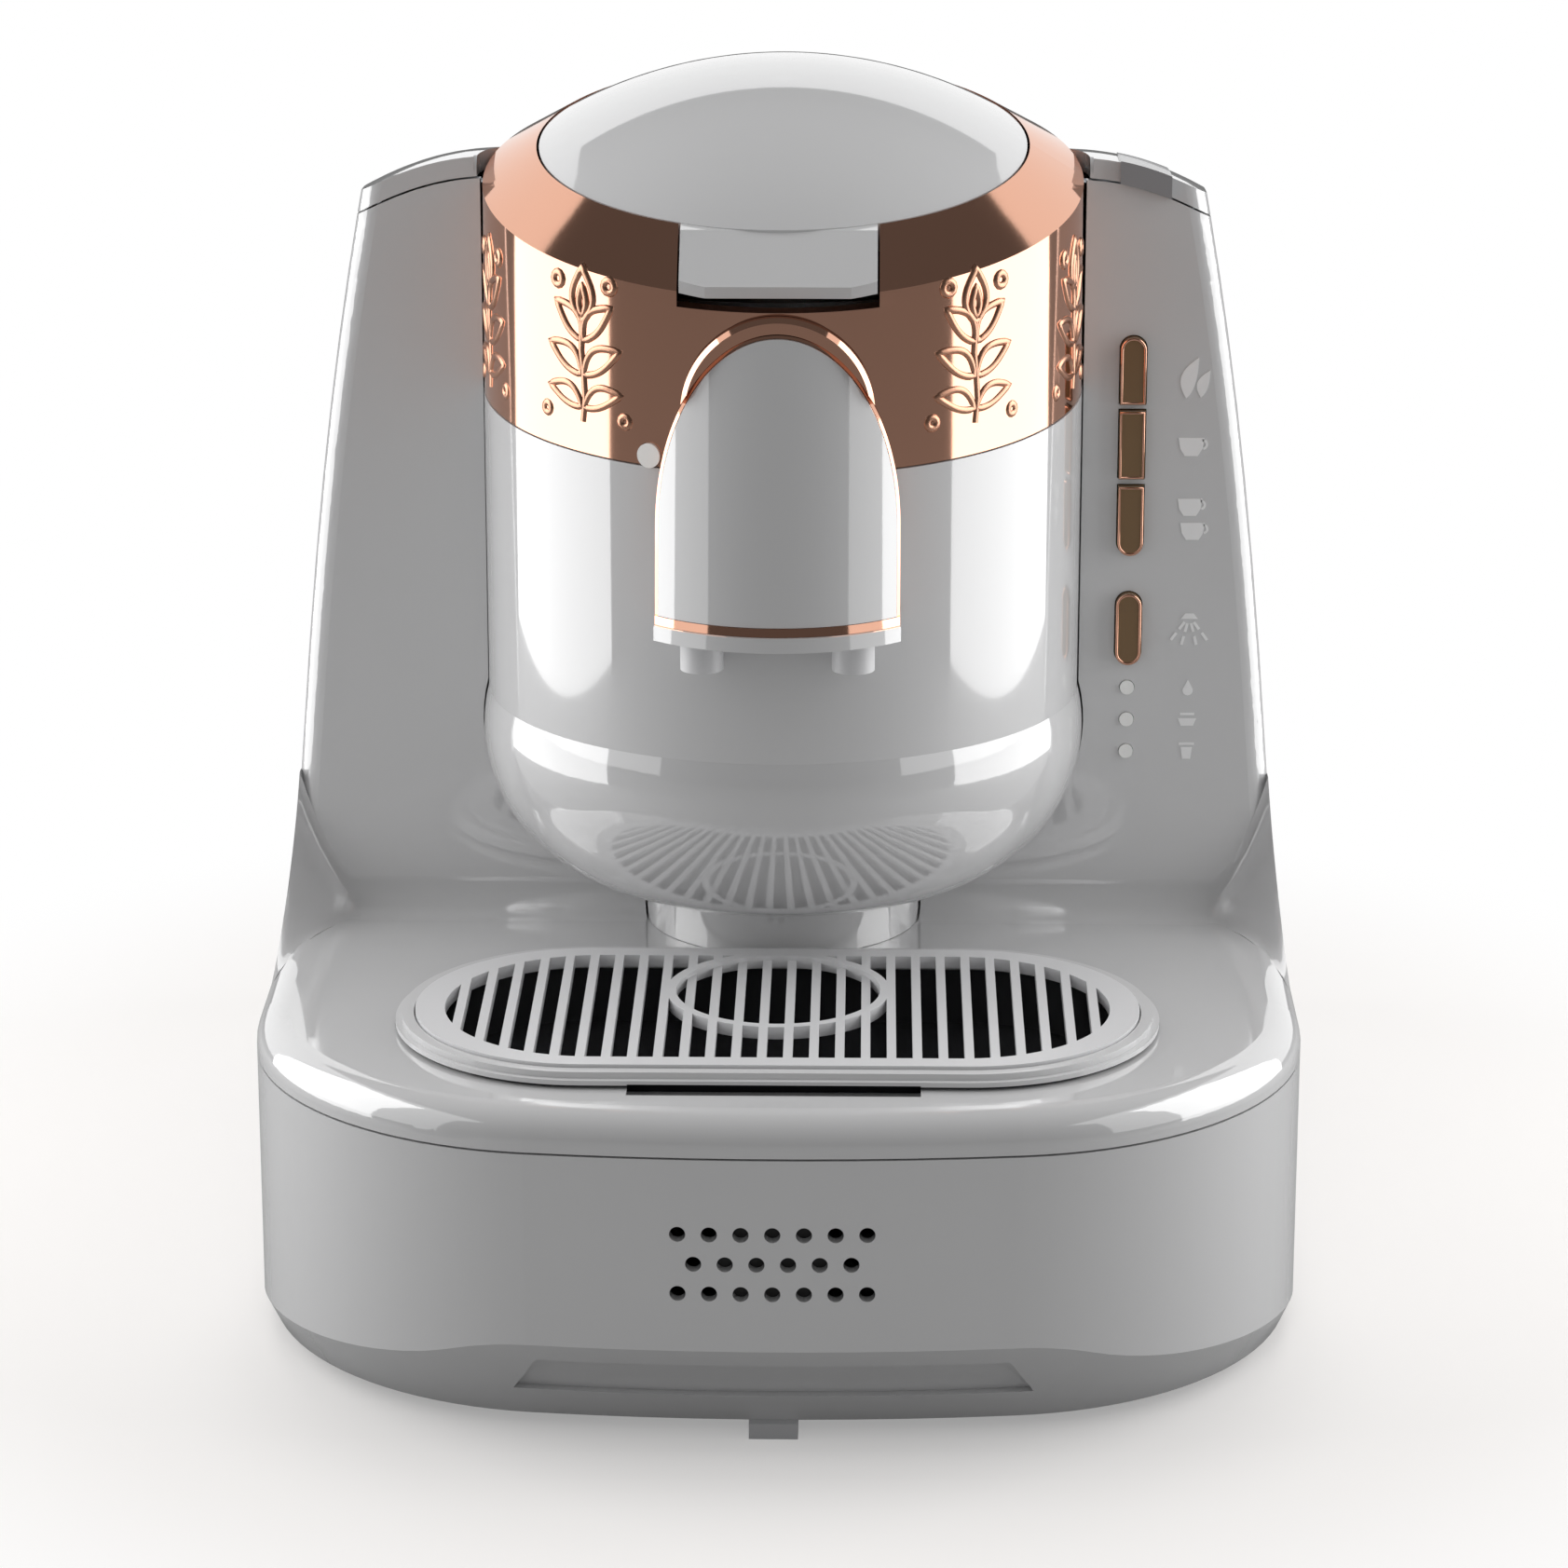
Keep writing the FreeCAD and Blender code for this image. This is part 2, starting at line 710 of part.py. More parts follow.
middle_fillet = Part.Face(flare_section(-flare_inner)).extrude(Vector(2 * flare_inner, 0, 0))
side_flares = []
for side in (-1, 1):
    stations = [flare_inner + flare_width * share for share in (0.0, 0.3, 0.6, 0.8, 0.93, 1.0)]
    side_flares.append(Part.makeLoft([flare_section(side * x) for x in stations], True, False))
taper_wires = []
for level, half, share in TOWER_STATIONS:
    taper_wires.append(Part.makePolygon([Vector(-half, y_front - 5, level), Vector(half, y_front - 5, level),
                                         Vector(half, y_rear, level), Vector(-half, y_rear, level),
                                         Vector(-half, y_front - 5, level)]))
taper = Part.makeLoft(taper_wires, True, False)
flares = side_flares[0].fuse([side_flares[1], middle_fillet]).common(taper)
flares = flares.common(prism(casing_plan(0.0, seam), FAR))

tower_front = slab(-FAR, FAR, y_tower - 5, y_split, seam, FAR)
tower = tower_outer.common(tower_front).common(below_cover)
upper_casing = deck_block.fuse([tower, flares])

deck_skin = num(S.deck_level) - wall
deck_room = prism(casing_plan(wall, seam), deck_skin - seam)
tower_room = tower_inner.common(slab(-FAR, FAR, y_tower, y_split - wall, seam, FAR))
upper_casing = upper_casing.cut(deck_room).cut(tower_room)

# Openings in the upper casing: the tray well, the brewing unit, the controls and the tank's seat
y_tray = num(back(S.tray_setback))
tray_length = num(S.tray_length)
tray_breadth = num(S.tray_breadth)
well_margin = 2 * num(S.tray_ledge) - 1.0
well = prism(stadium(tray_length - well_margin, tray_breadth - well_margin, y_tray, seam - 1), 10)
upper_casing = upper_casing.cut(well)
pedestal_radius = num(S.pedestal_diameter) / 2
pedestal_room = upright(0, y_unit, deck, pedestal_radius + fit, housing_floor - deck + 2.0)
pedestal_hole = upright(0, y_unit, seam - 1, pedestal_radius - 6.0, 20)
upper_casing = upper_casing.cut(housing_form(-fit, FAR)).cut(pedestal_room).cut(pedestal_hole)

# Name, level, height, and whether the top and the foot are round
BUTTONS = [
    ("heat", S.heat_button_level, S.heat_button_height, True, False),
    ("single", S.single_button_level, S.single_button_height, False, False),
    ("double", S.double_button_level, S.double_button_height, False, True),
    ("clean", S.clean_button_level, S.clean_button_height, True, True),
]
button_x = num(S.button_offset)
button_gap = num(S.button_gap)
half_button = num(S.button_width) / 2
control_tools = []
pocket_half = half_button + button_gap
for name, level, height, round_top, round_foot in BUTTONS:
    high = num(level) + num(height) / 2 + button_gap - (pocket_half if round_top else 0.0)
    low = num(level) - num(height) / 2 - button_gap + (pocket_half if round_foot else 0.0)
    control_tools.append(slab(button_x - pocket_half, button_x + pocket_half, y_tower - 4, y_tower + 8, low, high))
    for end, is_round in ((high, round_top), (low, round_foot)):
        if is_round:
            control_tools.append(Part.makeCylinder(pocket_half, 12, Vector(button_x, y_tower - 4, end), BACKWARD))
lamp_levels = [num(S.lamp_level) + i * num(S.lamp_pitch) for i in (-1, 0, 1)]
for level in lamp_levels:
    control_tools.append(Part.makeCylinder(num(S.lamp_diameter) / 2 + 0.1, 12,
                                           Vector(button_x, y_tower - 4, level), BACKWARD))
y_valve = num(back(S.tank_valve_setback))
seat_hole = upright(0, y_valve, seam - 1, num(S.tank_valve_diameter) / 2, 20)
board_posts = []
for x in (num(S.button_offset) - 4.8, num(S.button_offset) + 7.0):
    for z in (num(S.board_low) + 4.0, num(S.board_high) - 4.0):
        board_posts.append(Part.makeCylinder(2.0, num(S.board_setback) - num(S.tower_setback) - wall / 2,
                                             Vector(x, y_tower + wall / 2, z), BACKWARD))
upper_casing = upper_casing.fuse(board_posts)
finger_room = slab(-num(S.notch_width) / 2, num(S.notch_width) / 2, y_tray - tray_breadth / 2 - 3.0,
                   y_tray - tray_breadth / 2 + num(S.notch_depth), deck - 1.6, deck + 3)
upper_casing = upper_casing.cut(Part.makeCompound(control_tools)).cut(seat_hole).cut(finger_room)
feature("upper_casing", upper_casing)

# Water tank and its hinged cover

tank_gap = 0.5
tank_bottom = num(S.tank_floor_level)
tank_wall = num(S.tank_wall)
tank_zone = slab(-FAR, FAR, y_split + tank_gap, FAR, tank_bottom, FAR)
tank_outer = tower_outer.common(tank_zone).common(under_crown(cover_drop))
tank_room = tower_block(tank_wall).common(slab(-FAR, FAR, y_split + tank_gap + tank_wall, FAR,
                                               tank_bottom + tank_wall, FAR))
tank_port = upright(0, y_valve, tank_bottom - 1, num(S.tank_valve_diameter) / 2 - 2.0, 6)
water_tank = tank_outer.cut(tank_room).cut(tank_port)
y_hinge = num(back(S.cover_hinge_setback))
cover_pin_radius = num(S.cover_hinge_diameter) / 2
z_hinge = crown_height(0, y_hinge) - cover_drop - 3.2
ear_radius = cover_pin_radius + 2.0
tank_ears = []
for side in (-1, 1):
    ear = Part.makeCylinder(ear_radius, 4, Vector(side * 30 - 2, y_hinge, z_hinge), RIGHT)
    web = slab(side * 30 - 2, side * 30 + 2, y_hinge, y_hinge + 9, z_hinge - 9, z_hinge)
    tank_ears.append(ear.fuse(web))
pin_bore = Part.makeCylinder(cover_pin_radius, 80, Vector(-40, y_hinge, z_hinge), RIGHT)
lug_width = 6.8
lug_starts = [side * 24 - lug_width / 2 for side in (-1, 1)]
lug_rooms = [slab(x0 - 0.5, x0 + lug_width + 0.5, y_hinge - ear_radius - 0.5, y_rear, z_hinge - ear_radius - 0.5,
                  z_hinge + 12) for x0 in lug_starts]
water_tank = water_tank.fuse(tank_ears).common(tank_outer).cut(pin_bore).cut(Part.makeCompound(lug_rooms))
feature("water_tank", water_tank)

valve_radius = S.tank_valve_diameter / 2
keep(turned("tank_valve", [
    (1.2, 0.0),
    (valve_radius - 2.3, 0.0),
    (valve_radius - 2.3, S.tank_wall + 0.1),
    (valve_radius + 1.5, S.tank_wall + 0.1),
    (valve_radius + 1.5, S.tank_valve_height - 2.0),
    (valve_radius - 1.0, S.tank_valve_height),
    (1.2, S.tank_valve_height),
], 0.0, back(S.tank_valve_setback), S.tank_floor_level), "tank_valve")
keep(turned("tank_seal", [
    (2.2, -4.0),
    (valve_radius - fit, -4.0),
    (valve_radius - fit, 0.3),
    (2.2, 0.3),
], 0.0, back(S.tank_valve_setback), S.deck_level), "tank_seal")

cover = tower_outer.common(slab(-FAR, FAR, y_tower - 5, FAR, 0, FAR)).common(under_crown(0.0))
cover = cover.cut(under_crown(num(S.cover_thickness)))
cover = cover.cut(upright(0, y_unit, 0, ring_radius + fit + 0.6, FAR))
edge = num(S.cover_edge)
front_edge = slab(-FAR, FAR, y_tower - 1, y_tower + edge, 0, FAR)
edge_top = crown_height(0, y_tower) - edge
rounding = Part.makeCylinder(edge, 2 * FAR, Vector(-FAR, y_tower + edge, edge_top), RIGHT)
rounding = front_edge.common(slab(-FAR, FAR, y_tower - 1, y_tower + edge, edge_top, FAR)).cut(rounding)
side_limit = num(S.crown_flat)
cover = cover.cut(rounding.common(slab(-side_limit - 4, side_limit + 4, -FAR, FAR, 0, FAR)))
cover_lugs = []
for x0 in lug_starts:
    lug = Part.makeCylinder(ear_radius, lug_width, Vector(x0, y_hinge, z_hinge), RIGHT)
    web = slab(x0, x0 + lug_width, y_hinge - ear_radius, y_hinge + ear_radius, z_hinge, z_hinge + 6.5)
    cover_lugs.append(lug.fuse(web))
lug_bore = Part.makeCylinder(cover_pin_radius + 0.15, 80, Vector(-40, y_hinge, z_hinge), RIGHT)
cover = cover.fuse([lug.common(under_crown(num(S.cover_thickness) / 2)) for lug in cover_lugs]).cut(lug_bore)
tab_x = num(S.cover_tab_offset)
tab_half = num(S.cover_tab_width) / 2
tab_step = num(S.cover_tab_thickness)
tab_zone = slab(tab_x - tab_half, tab_x + tab_half, y_tower - 2, y_tower + num(S.cover_tab_length), 0, FAR)
tab_bed = tab_zone.cut(under_crown(tab_step - 0.4))
cover = cover.cut(tab_bed)
feature("tank_cover", cover)

tab_lip = slab(tab_x - tab_half, tab_x + tab_half, y_tower - 1.6, y_tower - 0.1, 0, FAR)
tab_lip = tab_lip.common(under_crown(-0.4)).cut(under_crown(num(S.cover_thickness) + 0.2))
tab_top = tab_zone.common(under_crown(-0.4)).cut(under_crown(tab_step - 0.4))
tab_top = tab_top.common(slab(-FAR, FAR, y_tower - 1.6, FAR, 0, FAR))
feature("cover_tab", tab_top.fuse(tab_lip).removeSplitter())

cover_pin = rod("cover_pin_rod", S.cover_hinge_diameter, 64.0, -32.0, back(S.cover_hinge_setback),
                z_hinge, BACKWARD, 90)
keep(cover_pin, "cover_hinge_pin")

# Copper ring, in the frame of the lid's rim, which leans forward

tilt = num(S.unit_tilt)
rim_level = num(S.shoulder_level) + num(S.bevel_rise)
rim_frame = Placement(Vector(0, y_unit, rim_level), Rotation(RIGHT, tilt))


def leaned(shape):
    """Takes a shape drawn about the rim's centre into the lid's leaning frame."""
    shape.Placement = rim_frame.multiply(shape.Placement)
    return shape


def half_space(level, angle, drop):
    """Everything under a plane that leans forward about the brewing unit's axis."""
    under = slab(-FAR / 2, FAR / 2, -FAR / 2, FAR / 2, -FAR, -drop)
    under.Placement = Placement(Vector(0, y_unit, level), Rotation(RIGHT, angle))
    return under


top_radius = num(S.ring_top_diameter) / 2
rise = num(S.bevel_rise)
lid_radius = num(S.lid_diameter) / 2
mouth = lid_radius + num(S.lid_gap)
ring_wall = num(S.ring_wall)


def bevel_solid(inset):
    """A cone over a cylinder, about the rim's centre: the ring's bevel and all below it."""
    wide = top_radius + 25.0
    slope = rise / (top_radius + 0.3 - mouth)
    low = -rise - (wide - top_radius - 0.3) * slope
    profile = [Vector(0, 0, -120), Vector(wide, 0, -120), Vector(wide, 0, low - inset),
               Vector(mouth, 0, -inset), Vector(0, 0, -inset), Vector(0, 0, -120)]
    solid = Part.Face(Part.makePolygon(profile)).revolve(Vector(0, 0, 0), UP, 360)
    return leaned(solid)


ring_foot = num(S.ring_foot_level)
ring_foot_tilt = num(S.ring_foot_tilt)
taper_top = rim_level + 20
ring_body = Part.makeCone(ring_radius, top_radius, taper_top - ring_foot + 20,
                          Vector(0, y_unit, ring_foot - 20), UP)
# The cone's seam is turned off the middle plane, where the leaning cone has its own
ring_body.rotate(Vector(0, y_unit, 0), UP, 40)
ring_body = ring_body.cut(half_space(ring_foot, ring_foot_tilt, 0.0)).common(bevel_solid(0.0))
ring_room = upright(0, y_unit, 0, top_radius - ring_wall, FAR).common(bevel_solid(ring_wall / 0.85))
ring_mouth = leaned(upright(0, 0, -30, mouth, 60))
copper_ring = ring_body.cut(ring_room).cut(ring_mouth)

lid_tab_half = num(S.lid_tab_width) / 2
lid_thickness = num(S.lid_thickness)
tab_reach = num(S.lid_tab_reach)
tab_drop = num(S.lid_tab_drop)
notch_floor = -(tab_drop + lid_thickness + num(S.notch_gap))
front_notch = leaned(slab(-lid_tab_half - 0.4, lid_tab_half + 0.4, -tab_reach - 4, -lid_radius + 8, notch_floor, 12))
hinge_reach = num(S.hinge_reach)
hinge_drop = num(S.hinge_drop)
hinge_half = num(S.hinge_width) / 2
rear_notch = leaned(slab(-hinge_half, hinge_half, lid_radius - 4, top_radius + 4, -10.7, 12))
relief_half = num(S.swing_relief_width) / 2
swing_relief = leaned(slab(-relief_half, relief_half, lid_radius - 12, top_radius + 4, -num(S.swing_relief_depth), 12))
copper_ring = copper_ring.cut(front_notch).cut(rear_notch).cut(swing_relief)
lens_y = y_unit - math.sqrt(ring_radius ** 2 - num(S.lens_offset) ** 2)
lens_angle = math.degrees(math.asin(num(S.lens_offset) / ring_radius))


def lens_rod(radius, start, length):
    """A short rod along the wall's normal at the indicator lens."""
    out = Vector(-math.sin(math.radians(lens_angle)), -math.cos(math.radians(lens_angle)), 0)
    centre = Vector(0, y_unit, num(S.lens_level)) + out * (ring_radius + start)
    return Part.makeCylinder(radius, length, centre, out)


lens_hole = lens_rod(num(S.lens_diameter) / 2 + 0.1, -6, 12)
copper_ring = copper_ring.cut(lens_hole)
feature("copper_ring", copper_ring)
lens = lens_rod(num(S.lens_diameter) / 2, -ring_wall, ring_wall + num(S.lens_proud))
feature("indicator_lens", lens)

# Brew housing: a straight cup with a rounded underside, on a short pedestal

housing = housing_form(0.0, rim_level).common(half_space(ring_foot, ring_foot_tilt, fit))
housing = housing.cut(housing_form(wall, rim_level + 10))
pedestal = upright(0, y_unit, deck + 0.1, pedestal_radius, housing_floor - deck + 0.4)
pedestal_bore = upright(0, y_unit, 0, pedestal_radius - wall, housing_floor + wall + 1)
housing = housing.fuse(pedestal).cut(pedestal_bore)
outlet_level = num(S.pot_floor_level) - 12.0
spout_port = Part.makeCylinder(num(S.outlet_bore) / 2 + 1.4, 20,
                               Vector(0, y_unit - ring_radius - 6, outlet_level), BACKWARD)
feed_port = Part.makeCylinder(num(S.nozzle_tube_diameter) / 2 + 0.4, 20,
                              Vector(0, y_unit + ring_radius - 10, num(S.pot_floor_level) + 4.0), BACKWARD)
housing = housing.cut(spout_port).cut(lens_hole).cut(feed_port)
feature("brew_housing", housing)

# Lid: a domed shell with a front tab, its liner, gasket and rear hinge

dome_radius = (lid_radius ** 2 + num(S.lid_rise) ** 2) / (2 * num(S.lid_rise))
dome_centre = num(S.lid_rise) - dome_radius
skirt = 3.4


def lid_cap(inset):
    """The dome over a short straight skirt, in the rim's own frame."""
    ball = Part.makeSphere(dome_radius - inset, Vector(0, 0, dome_centre))
    return ball.common(upright(0, 0, -skirt, lid_radius - inset, skirt + num(S.lid_rise) + 5))


lid_mouth = upright(0, 0, -skirt - 1, lid_radius - lid_thickness, skirt - lid_thickness + 1)
lid_room = lid_cap(lid_thickness).fuse(lid_mouth)
lid_form = lid_cap(0.0).cut(lid_room)
tab_corner = 2.5
tab_tip = -tab_reach + 1.2
tab_side = [Vector(0, -lid_radius + 7, 0.0), Vector(0, -lid_radius + 0.6, -0.2), Vector(0, tab_tip, -tab_drop),
            Vector(0, tab_tip, -tab_drop - lid_thickness), Vector(0, -lid_radius + 2, -lid_thickness - 1.2),
            Vector(0, -lid_radius + 7, -lid_thickness - 1.2)]
tab_plate = Part.Face(Part.makePolygon(tab_side + tab_side[:1])).extrude(Vector(2 * lid_tab_half, 0, 0))
tab_plate.translate(Vector(-lid_tab_half, 0, 0))
tip_sweep = upright(0, 0, -30, math.hypot(tab_reach, lid_tab_half * 0.33), 60)
tab_plan = prism(rounded(lid_tab_half, -tab_reach - 0.01, -lid_radius + 7.5, tab_corner, 0.5, -30), 60)
tab_plate = tab_plate.common(tip_sweep).common(tab_plan).cut(lid_room)
knuckle_half = num(S.knuckle_width) / 2
knuckle_radius = num(S.knuckle_diameter) / 2
pin_radius = num(S.hinge_pin_diameter) / 2
knuckle = Part.makeCylinder(knuckle_radius, 2 * knuckle_half, Vector(-knuckle_half, hinge_reach, -hinge_drop), RIGHT)
knuckle_web = slab(-knuckle_half, knuckle_half, lid_radius - lid_thickness + 0.1, hinge_reach, -hinge_drop - 0.5,
                   -hinge_drop + knuckle_radius)
knuckle_bore = Part.makeCylinder(pin_radius + 0.15, 60, Vector(-30, hinge_reach, -hinge_drop), RIGHT)
lid_shell = lid_form.fuse([tab_plate, knuckle, knuckle_web]).cut(knuckle_bore)
feature("lid_shell", leaned(lid_shell))

liner_radius = S.liner_diameter / 2
lid_axis = (0.0, back(S.unit_setback), S.shoulder_level + S.bevel_rise)
keep(turned("lid_liner", [
    (0.0, -skirt - S.liner_thickness),
    (liner_radius, -skirt - S.liner_thickness),
    (liner_radius + 1.6, -skirt),
    (S.lid_diameter / 2 - S.lid_thickness - 0.1, -skirt),
    (S.lid_diameter / 2 - S.lid_thickness - 0.1, 0.1 - S.lid_thickness),
    (S.lid_diameter / 2 - S.lid_thickness - 2.0, 0.1 - S.lid_thickness),
    (S.lid_diameter / 2 - S.lid_thickness - 2.0, 1.0 - skirt),
    (0.0, 1.0 - skirt),
], *lid_axis, RIGHT, tilt), "lid_liner")
keep(turned("lid_gasket", [
    (liner_radius - S.gasket_width, -skirt - S.liner_thickness - S.gasket_height),
    (liner_radius, -skirt - S.liner_thickness - S.gasket_height + 1.0),
    (liner_radius, -skirt - S.liner_thickness),
    (liner_radius - S.gasket_width, -skirt - S.liner_thickness),
], *lid_axis, RIGHT, tilt), "lid_gasket")

hinge_frame = rim_frame.multVec(Vector(0, hinge_reach, -hinge_drop))
lid_pin = rod("lid_pin_rod", S.hinge_pin_diameter, S.hinge_width - 2.0,
              -(S.hinge_width / 2) + 1.0, hinge_frame.y, hinge_frame.z, BACKWARD, 90)
keep(lid_pin, "lid_hinge_pin")

ear_width = hinge_half - knuckle_half - 0.9
bracket_floor = slab(-hinge_half + 0.3, hinge_half - 0.3, mouth + 0.6, top_radius - 0.3, -10.4, -8.2)
bracket = [bracket_floor]
for side in (-1, 1):
    x0 = side * (knuckle_half + 0.5 + ear_width / 2) - ear_width / 2
    ear = Part.makeCylinder(knuckle_radius, ear_width, Vector(x0, hinge_reach, -hinge_drop), RIGHT)
    post = slab(x0, x0 + ear_width, hinge_reach - knuckle_radius, hinge_reach + knuckle_radius, -8.4, -hinge_drop)
    bracket.append(ear.fuse(post))
ear_bore = Part.makeCylinder(pin_radius, 60, Vector(-30, hinge_reach, -hinge_drop), RIGHT)
bracket = bracket[0].fuse(bracket[1:]).cut(ear_bore)
feature("hinge_bracket", leaned(bracket))

# Pot, its carrier and heater, and the outlet to the spout

pot_radius = S.pot_diameter / 2
pot_floor_radius = S.pot_floor_diameter / 2
unit_y = back(S.unit_setback)
flange_radius = S.pot_flange_diameter / 2
keep(turned("brew_pot", [
    (0.0, S.pot_floor_level),
    (pot_floor_radius - 4.0, S.pot_floor_level),
    (pot_floor_radius, S.pot_floor_level + 4.0),
    (pot_radius, S.pot_rim_level),
    (flange_radius, S.pot_rim_level),
    (flange_radius, S.pot_rim_level + S.pot_wall),
    (pot_radius - S.pot_wall, S.pot_rim_level + S.pot_wall),
    (pot_floor_radius - S.pot_wall, S.pot_floor_level + 4.5),
    (pot_floor_radius - 4.5, S.pot_floor_level + S.pot_wall),
    (0.0, S.pot_floor_level + S.pot_wall),
], 0.0, unit_y, 0.0), "brew_pot_body")
pot_body = nodes.pop()
outlet_y = back(S.outlet_setback)
outlet_hole = rod("outlet_hole", S.outlet_bore, 20.0, 0.0, outlet_y, S.pot_floor_level - 5.0)
feed_y = unit_y + S.pot_diameter / 2 + 3.4
feed_hole = rod("feed_hole", S.nozzle_tube_diameter + 0.8, 10.0, 0.0, feed_y, S.pot_rim_level - 4.0)
keep(less("pot_cut", less("pot_outlet_cut", pot_body, outlet_hole), feed_hole), "brew_pot")

carrier_radius = S.ring_diameter / 2 - S.ring_wall - S.fit_gap
keep(turned("pot_carrier", [
    (S.carrier_hole_diameter / 2, S.housing_floor_level + S.wall + 0.1),
    (S.carrier_hole_diameter / 2 + S.carrier_wall, S.housing_floor_level + S.wall + 0.1),
    (S.carrier_hole_diameter / 2 + S.carrier_wall, S.carrier_floor_level),
    (carrier_radius - 6.0, S.carrier_floor_level),
    (carrier_radius - 1.0, S.carrier_floor_level + 16.0),
    (carrier_radius - 0.6, S.pot_rim_level - 0.1),
    (carrier_radius - S.carrier_wall - 0.6, S.pot_rim_level - 0.1),
    (carrier_radius - S.carrier_wall - 1.0, S.carrier_floor_level + 17.0),
    (carrier_radius - S.carrier_wall - 6.0, S.carrier_floor_level + S.carrier_wall),
    (S.carrier_hole_diameter / 2, S.carrier_floor_level + S.carrier_wall),
], 0.0, unit_y, 0.0), "pot_carrier_body")
carrier_body = nodes.pop()
carrier_port = rod("carrier_port", S.outlet_bore + 3.0, 30.0, 0.0, unit_y - carrier_radius - 6.0,
                   S.pot_floor_level - 12.0, RIGHT, -90)
carrier_feed = rod("carrier_feed", S.nozzle_tube_diameter + 0.8, 12.0, 0.0, unit_y + carrier_radius + 3.0,
                   S.pot_floor_level + 4.0, RIGHT, 90)
keep(less("carrier_cut", less("carrier_port_cut", carrier_body, carrier_port), carrier_feed), "pot_carrier")

valve_top = S.pot_floor_level - 0.1
keep(turned("heater_plate", [
    (0.0, S.pot_floor_level - S.heater_height),
    (S.heater_diameter / 2 - 1.0, S.pot_floor_level - S.heater_height),
    (S.heater_diameter / 2, S.pot_floor_level - S.heater_height + 1.0),
    (S.heater_diameter / 2, valve_top),
    (0.0, valve_top),
], 0.0, unit_y + 2.0), "heater_plate")
keep(rod("thermostat_rod", S.thermostat_diameter, S.thermostat_height, 0.0, unit_y + 2.0,
         S.pot_floor_level - S.heater_height - S.thermostat_height - 0.1), "thermostat")

bore_radius = S.outlet_bore / 2 + 0.1
valve_foot = S.pot_floor_level - S.valve_height - 7.0
valve_body = turned("outlet_valve_body", [
    (bore_radius, valve_foot),
    (S.valve_diameter / 2, valve_foot),
    (S.valve_diameter / 2, valve_top - 2.0),
    (S.valve_diameter / 2 - 1.5, valve_top),
    (bore_radius, valve_top),
], 0.0, outlet_y)
tube_level = S.pot_floor_level - 12.0
valve_port = rod("valve_port", S.outlet_bore, 10.0, 0.0, outlet_y, tube_level, RIGHT, 90)
keep(less("valve_seat_cut", valve_body, valve_port), "outlet_valve_seat")
keep(turned("outlet_plunger", [
    (0.0, valve_foot - 4.0),
    (S.plunger_diameter / 2 - 0.6, valve_foot - 4.0),
    (S.plunger_diameter / 2 - 0.6, tube_level + 3.4),
    (S.plunger_diameter / 2, tube_level + 4.0),
    (S.plunger_diameter / 2, S.pot_floor_level + S.pot_wall - 0.2),
    (0.0, S.pot_floor_level + S.pot_wall - 0.2),
], 0.0, outlet_y), "outlet_plunger")
keep(turned("solenoid", [
    (S.plunger_diameter / 2 + 0.2, valve_foot - S.solenoid_height),
    (S.solenoid_diameter / 2, valve_foot - S.solenoid_height),
    (S.solenoid_diameter / 2, valve_foot - 0.1),
    (S.plunger_diameter / 2 + 0.2, valve_foot - 0.1),
], 0.0, outlet_y), "solenoid")

tube_start = S.outlet_setback - S.valve_diameter / 2 - 0.1
tube_run = tube_start - (S.unit_setback - S.ring_diameter / 2) + 0.1
outlet_outer = rod("outlet_outer", S.outlet_bore + 2.4, tube_run, 0.0, back(tube_start), tube_level, RIGHT, 90)
outlet_inner = rod("outlet_inner", S.outlet_bore, tube_run + 2.0, 0.0, back(tube_start + 1.0), tube_level, RIGHT, 90)
keep(less("outlet_tube_cut", outlet_outer, outlet_inner), "outlet_tube")

feed_level = S.pot_rim_level + 7.0
feed_low = S.pot_floor_level + 4.0
feed_back = S.tower_split - S.wall - 3.9
feed_elbows = []
for i, (setback, level) in enumerate(((feed_back, feed_low), (S.unit_setback + S.pot_diameter / 2 + 3.4, feed_low),
                                      (S.unit_setback + S.pot_diameter / 2 + 3.4, feed_level))):
    elbow = doc.addObject("Part::Sphere", "feed_elbow_%d" % i)
    bind(elbow, Radius=S.nozzle_tube_diameter / 2)
    feed_elbows.append(place(elbow, 0.0, back(setback), level))
feed_entry = rod("feed_entry", S.nozzle_tube_diameter, 6.0, -6.0, back(feed_back), feed_low, BACKWARD, 90)
feed_run_in = rod("feed_run_in", S.nozzle_tube_diameter, back(feed_back) - feed_y, 0.0, back(feed_back), feed_low,
                  RIGHT, 90)
feed_rise = rod("feed_rise", S.nozzle_tube_diameter, feed_level - feed_low, 0.0, feed_y, feed_low)
feed_run = rod("feed_run", S.nozzle_tube_diameter, 9.0, 0.0, feed_y, feed_level, RIGHT, 90)
keep(joined("feed_pipe", feed_entry, feed_run_in, feed_rise, feed_run, *feed_elbows), "water_nozzle")

# Spout: shell, copper trim, base with two nozzles, the channel inside and the collar behind

spout_half = num(S.spout_width) / 2
spout_foot = num(S.spout_foot_level)
spout_spring = num(S.spout_spring_level)
spout_top = num(S.spout_top_level)
y_spout = num(back(S.spout_front_setback))
housing_clear = upright(0, y_unit, 0, ring_radius + fit, FAR)


